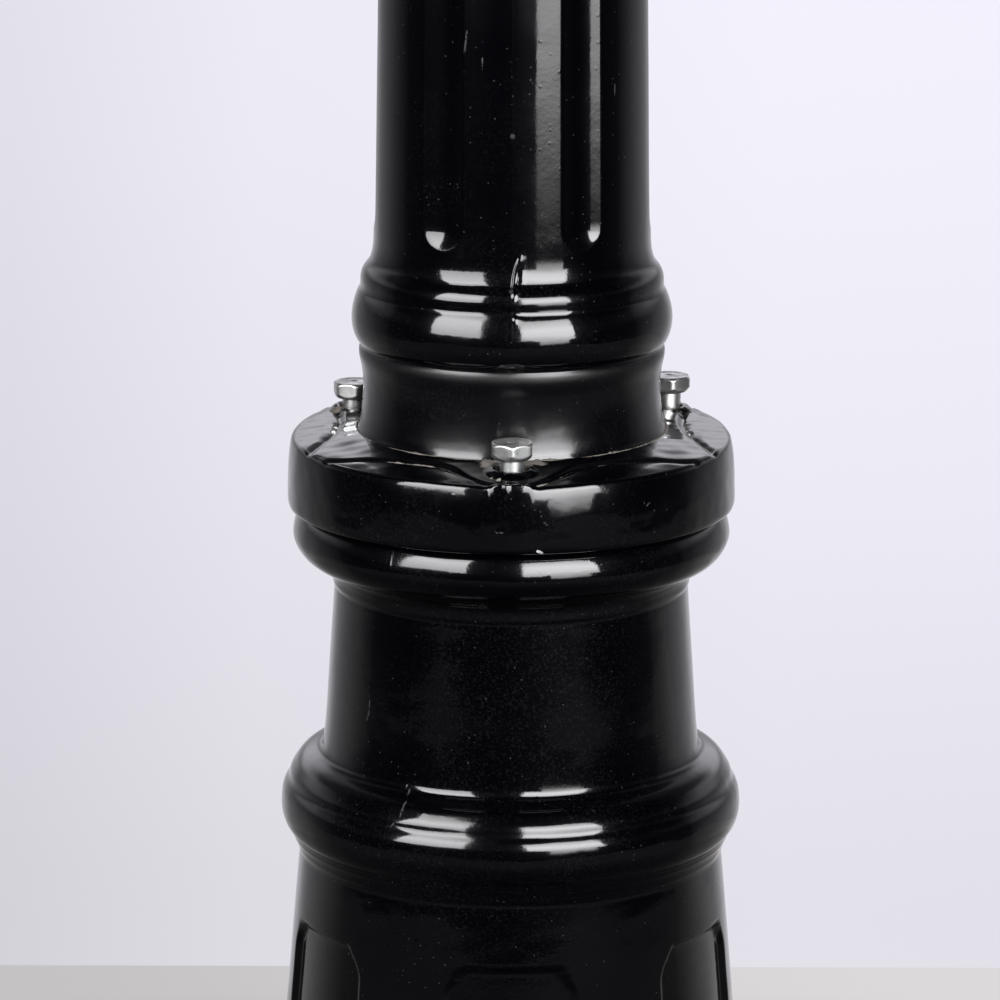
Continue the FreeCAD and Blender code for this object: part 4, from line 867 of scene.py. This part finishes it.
def glow(li, stops):
    """Brightness of the box from its lower to its upper edge."""
    li.use_nodes = True
    t = li.node_tree
    t.nodes.clear()
    out, em = t.nodes.new("ShaderNodeOutputLight"), t.nodes.new("ShaderNodeEmission")
    geo, sep, ramp = t.nodes.new("ShaderNodeNewGeometry"), t.nodes.new("ShaderNodeSeparateXYZ"), t.nodes.new("ShaderNodeValToRGB")
    t.links.new(geo.outputs["Parametric"], sep.inputs[0])
    t.links.new(sep.outputs[1], ramp.inputs[0])
    e = ramp.color_ramp.elements
    ramp.color_ramp.interpolation = "LINEAR"
    while len(e) < len(stops):
        e.new(0.5)
    for k, (p, c) in enumerate(stops):
        e[k].position = p
        e[k].color = (c, c, c, 1.0)
    t.links.new(ramp.outputs[0], em.inputs["Color"])
    em.inputs["Strength"].default_value = 1.0
    t.links.new(em.outputs[0], out.inputs[0])


lit = bpy.data.collections.new("lit")
bpy.context.scene.collection.children.link(lit)
for ob in list(NODES.values()) + [column, base, collar] + bolts:
    lit.objects.link(ob)
BOXES = (("softbox_right", 26.0, 0.90, 0.72, 0.91, 17.0, [(0.0, 0.50), (0.2, 0.88), (0.45, 1.0), (0.75, 0.75), (1.0, 0.42)]),
         ("softbox_right_low", 30.0, 0.50, 0.51, 0.21, 17.0, [(0.0, 0.02), (0.12, 0.045), (0.2, 0.072), (0.276, 0.13), (0.352, 0.18), (0.43, 0.28), (0.54, 0.33), (0.657, 0.38), (1.0, 0.5)]),
         ("softbox_left", -41.0, 0.84, 0.82, 1.25, 14.0, [(0.0, 0.6), (0.25, 0.85), (0.5, 1.0), (0.8, 0.75), (1.0, 0.5)]))
for nm, az_, w_, low_, h_, L, g in BOXES:
    box = softbox(nm, az_, 1.30, low_ + h_ / 2, w_, h_, radiance(L, w_, h_), (0.985, 0.98, 1.0))
    glow(box.data, g)
    box.light_linking.receiver_collection = lit

world = bpy.data.worlds.new("studio")
bpy.context.scene.world = world
world.use_nodes = True
wt = world.node_tree
wt.nodes.clear()
wo = wt.nodes.new("ShaderNodeOutputWorld")
bg = wt.nodes.new("ShaderNodeBackground")
wt.links.new(bg.outputs[0], wo.inputs[0])
wc = wt.nodes.new("ShaderNodeTexCoord")
sp = wt.nodes.new("ShaderNodeSeparateXYZ")
wt.links.new(wc.outputs["Generated"], sp.inputs[0])


def wmath(op, a, b=None, clamp=False):
    n = wt.nodes.new("ShaderNodeMath")
    n.operation, n.use_clamp = op, clamp
    for i, v in enumerate((a, b)):
        if v is None:
            continue
        if isinstance(v, bpy.types.NodeSocket):
            wt.links.new(v, n.inputs[i])
        else:
            n.inputs[i].default_value = v
    return n.outputs[0]


def wramp(v, stops, interp="LINEAR"):
    n = wt.nodes.new("ShaderNodeValToRGB")
    n.color_ramp.interpolation = interp
    e = n.color_ramp.elements
    while len(e) < len(stops):
        e.new(0.5)
    for k, (p, c) in enumerate(stops):
        e[k].position = p
        e[k].color = (*c, 1.0) if hasattr(c, "__len__") else (c, c, c, 1.0)
    wt.links.new(v, n.inputs[0])
    return n.outputs[0]


# how far a direction points away from the front, as the cosine of its azimuth: -1 front, +1 behind the post
hor = wmath("SQRT", wmath("ADD", wmath("MULTIPLY", sp.outputs[0], sp.outputs[0]), wmath("MULTIPLY", sp.outputs[1], sp.outputs[1])))
cosaz = wmath("DIVIDE", sp.outputs[1], wmath("MAXIMUM", hor, 0.02))
tt = wmath("MULTIPLY_ADD", cosaz, 0.5)
tt.node.inputs[2].default_value = 0.5
pos = lambda deg: 0.5 - 0.5 * math.cos(math.radians(deg))      # deg from the front
room = wramp(tt, [(0.0, (0.010, 0.010, 0.012)), (pos(70), (0.014, 0.014, 0.016)), (pos(98), (0.05, 0.05, 0.056)), (pos(112), (0.24, 0.24, 0.255)), (pos(122), (0.37, 0.37, 0.39)),
                  (pos(145), (0.50, 0.50, 0.53)), (pos(156), (0.74, 0.73, 0.78)), (1.0, (0.80, 0.79, 0.85))])
# it is brightest in a band over the horizon, and a little darker to the left
side = wramp(wmath("MULTIPLY_ADD", sp.outputs[0], 0.5), [(0.0, 0.82), (0.45, 0.97), (1.0, 1.0)])
side.node.inputs[0].links[0].from_node.inputs[2].default_value = 0.5
rise = wramp(wmath("MULTIPLY_ADD", sp.outputs[2], 0.5), [(0.0, 0.5), (0.383, 0.88), (0.5, 0.75), (0.55, 0.6), (0.585, 1.1), (0.615, 1.6), (0.66, 1.65), (0.70, 1.0), (0.735, 0.3), (0.82, 0.15), (1.0, 0.12)])
rise.node.inputs[0].links[0].from_node.inputs[2].default_value = 0.5
rise = wmath("MULTIPLY", rise, side)
mul = wt.nodes.new("ShaderNodeMix")
mul.data_type, mul.blend_type = "RGBA", "MULTIPLY"
mul.inputs[0].default_value = 1.0
wt.links.new(room, mul.inputs[6])
wt.links.new(rise, mul.inputs[7])
# what the camera sees past the post: a pale wall, darker low down and to the left
seen = wramp(wmath("MULTIPLY_ADD", sp.outputs[2], 0.5), [(0.0, (0.55, 0.54, 0.57)), (0.335, (0.735, 0.725, 0.79)), (0.35, (0.735, 0.725, 0.79)), (0.383, (0.80, 0.79, 0.875)), (0.415, (0.85, 0.838, 0.925)), (0.43, (0.86, 0.848, 0.94)), (1.0, (0.85, 0.84, 0.93))])
seen.node.inputs[0].links[0].from_node.inputs[2].default_value = 0.5
lean = wramp(wmath("MULTIPLY_ADD", sp.outputs[0], 4.5), [(0.0, (0.87, 0.87, 0.875)), (0.10, (0.89, 0.89, 0.885)), (0.30, (0.985, 0.985, 0.97)), (0.5, (1.0, 1.0, 1.0)), (0.72, (1.045, 1.045, 1.045)), (1.0, (1.035, 1.035, 1.04))])
lean.node.inputs[0].links[0].from_node.inputs[2].default_value = 0.5
both = wt.nodes.new("ShaderNodeMix")
both.data_type, both.blend_type = "RGBA", "MULTIPLY"
both.inputs[0].default_value = 1.0
wt.links.new(seen, both.inputs[6])
wt.links.new(lean, both.inputs[7])
seen = both.outputs[2]
lp = wt.nodes.new("ShaderNodeLightPath")
pick = wt.nodes.new("ShaderNodeMix")
pick.data_type = "RGBA"
wt.links.new(lp.outputs["Is Camera Ray"], pick.inputs[0])
wt.links.new(mul.outputs[2], pick.inputs[6])
wt.links.new(seen, pick.inputs[7])
wt.links.new(pick.outputs[2], bg.inputs[0])
bg.inputs[1].default_value = 1.0

sc = bpy.context.scene
sc.view_settings.view_transform = "Standard"
sc.view_settings.look = "None"

# ------------------------------------------------------------------ camera: close up on the collar, 13.5 degrees down
PITCH, DIST = math.radians(13.5), 1.82325
cam_d = bpy.data.cameras.new("cam")
cam_d.sensor_width = 36.0
cam_d.lens = 198.0
cam_d.clip_start, cam_d.clip_end = 0.05, 50.0
cam = bpy.data.objects.new("cam", cam_d)
cam.location = (-0.00378, -DIST * math.cos(PITCH), Z0 * 0.001 + DIST * math.sin(PITCH))
cam.rotation_euler = (Matrix.Rotation(math.radians(90.0) - PITCH, 3, "X") @ Matrix.Rotation(0.0027, 3, "Z")).to_euler()
bpy.context.scene.collection.objects.link(cam)
bpy.context.scene.camera = cam

bpy.context.view_layer.update()
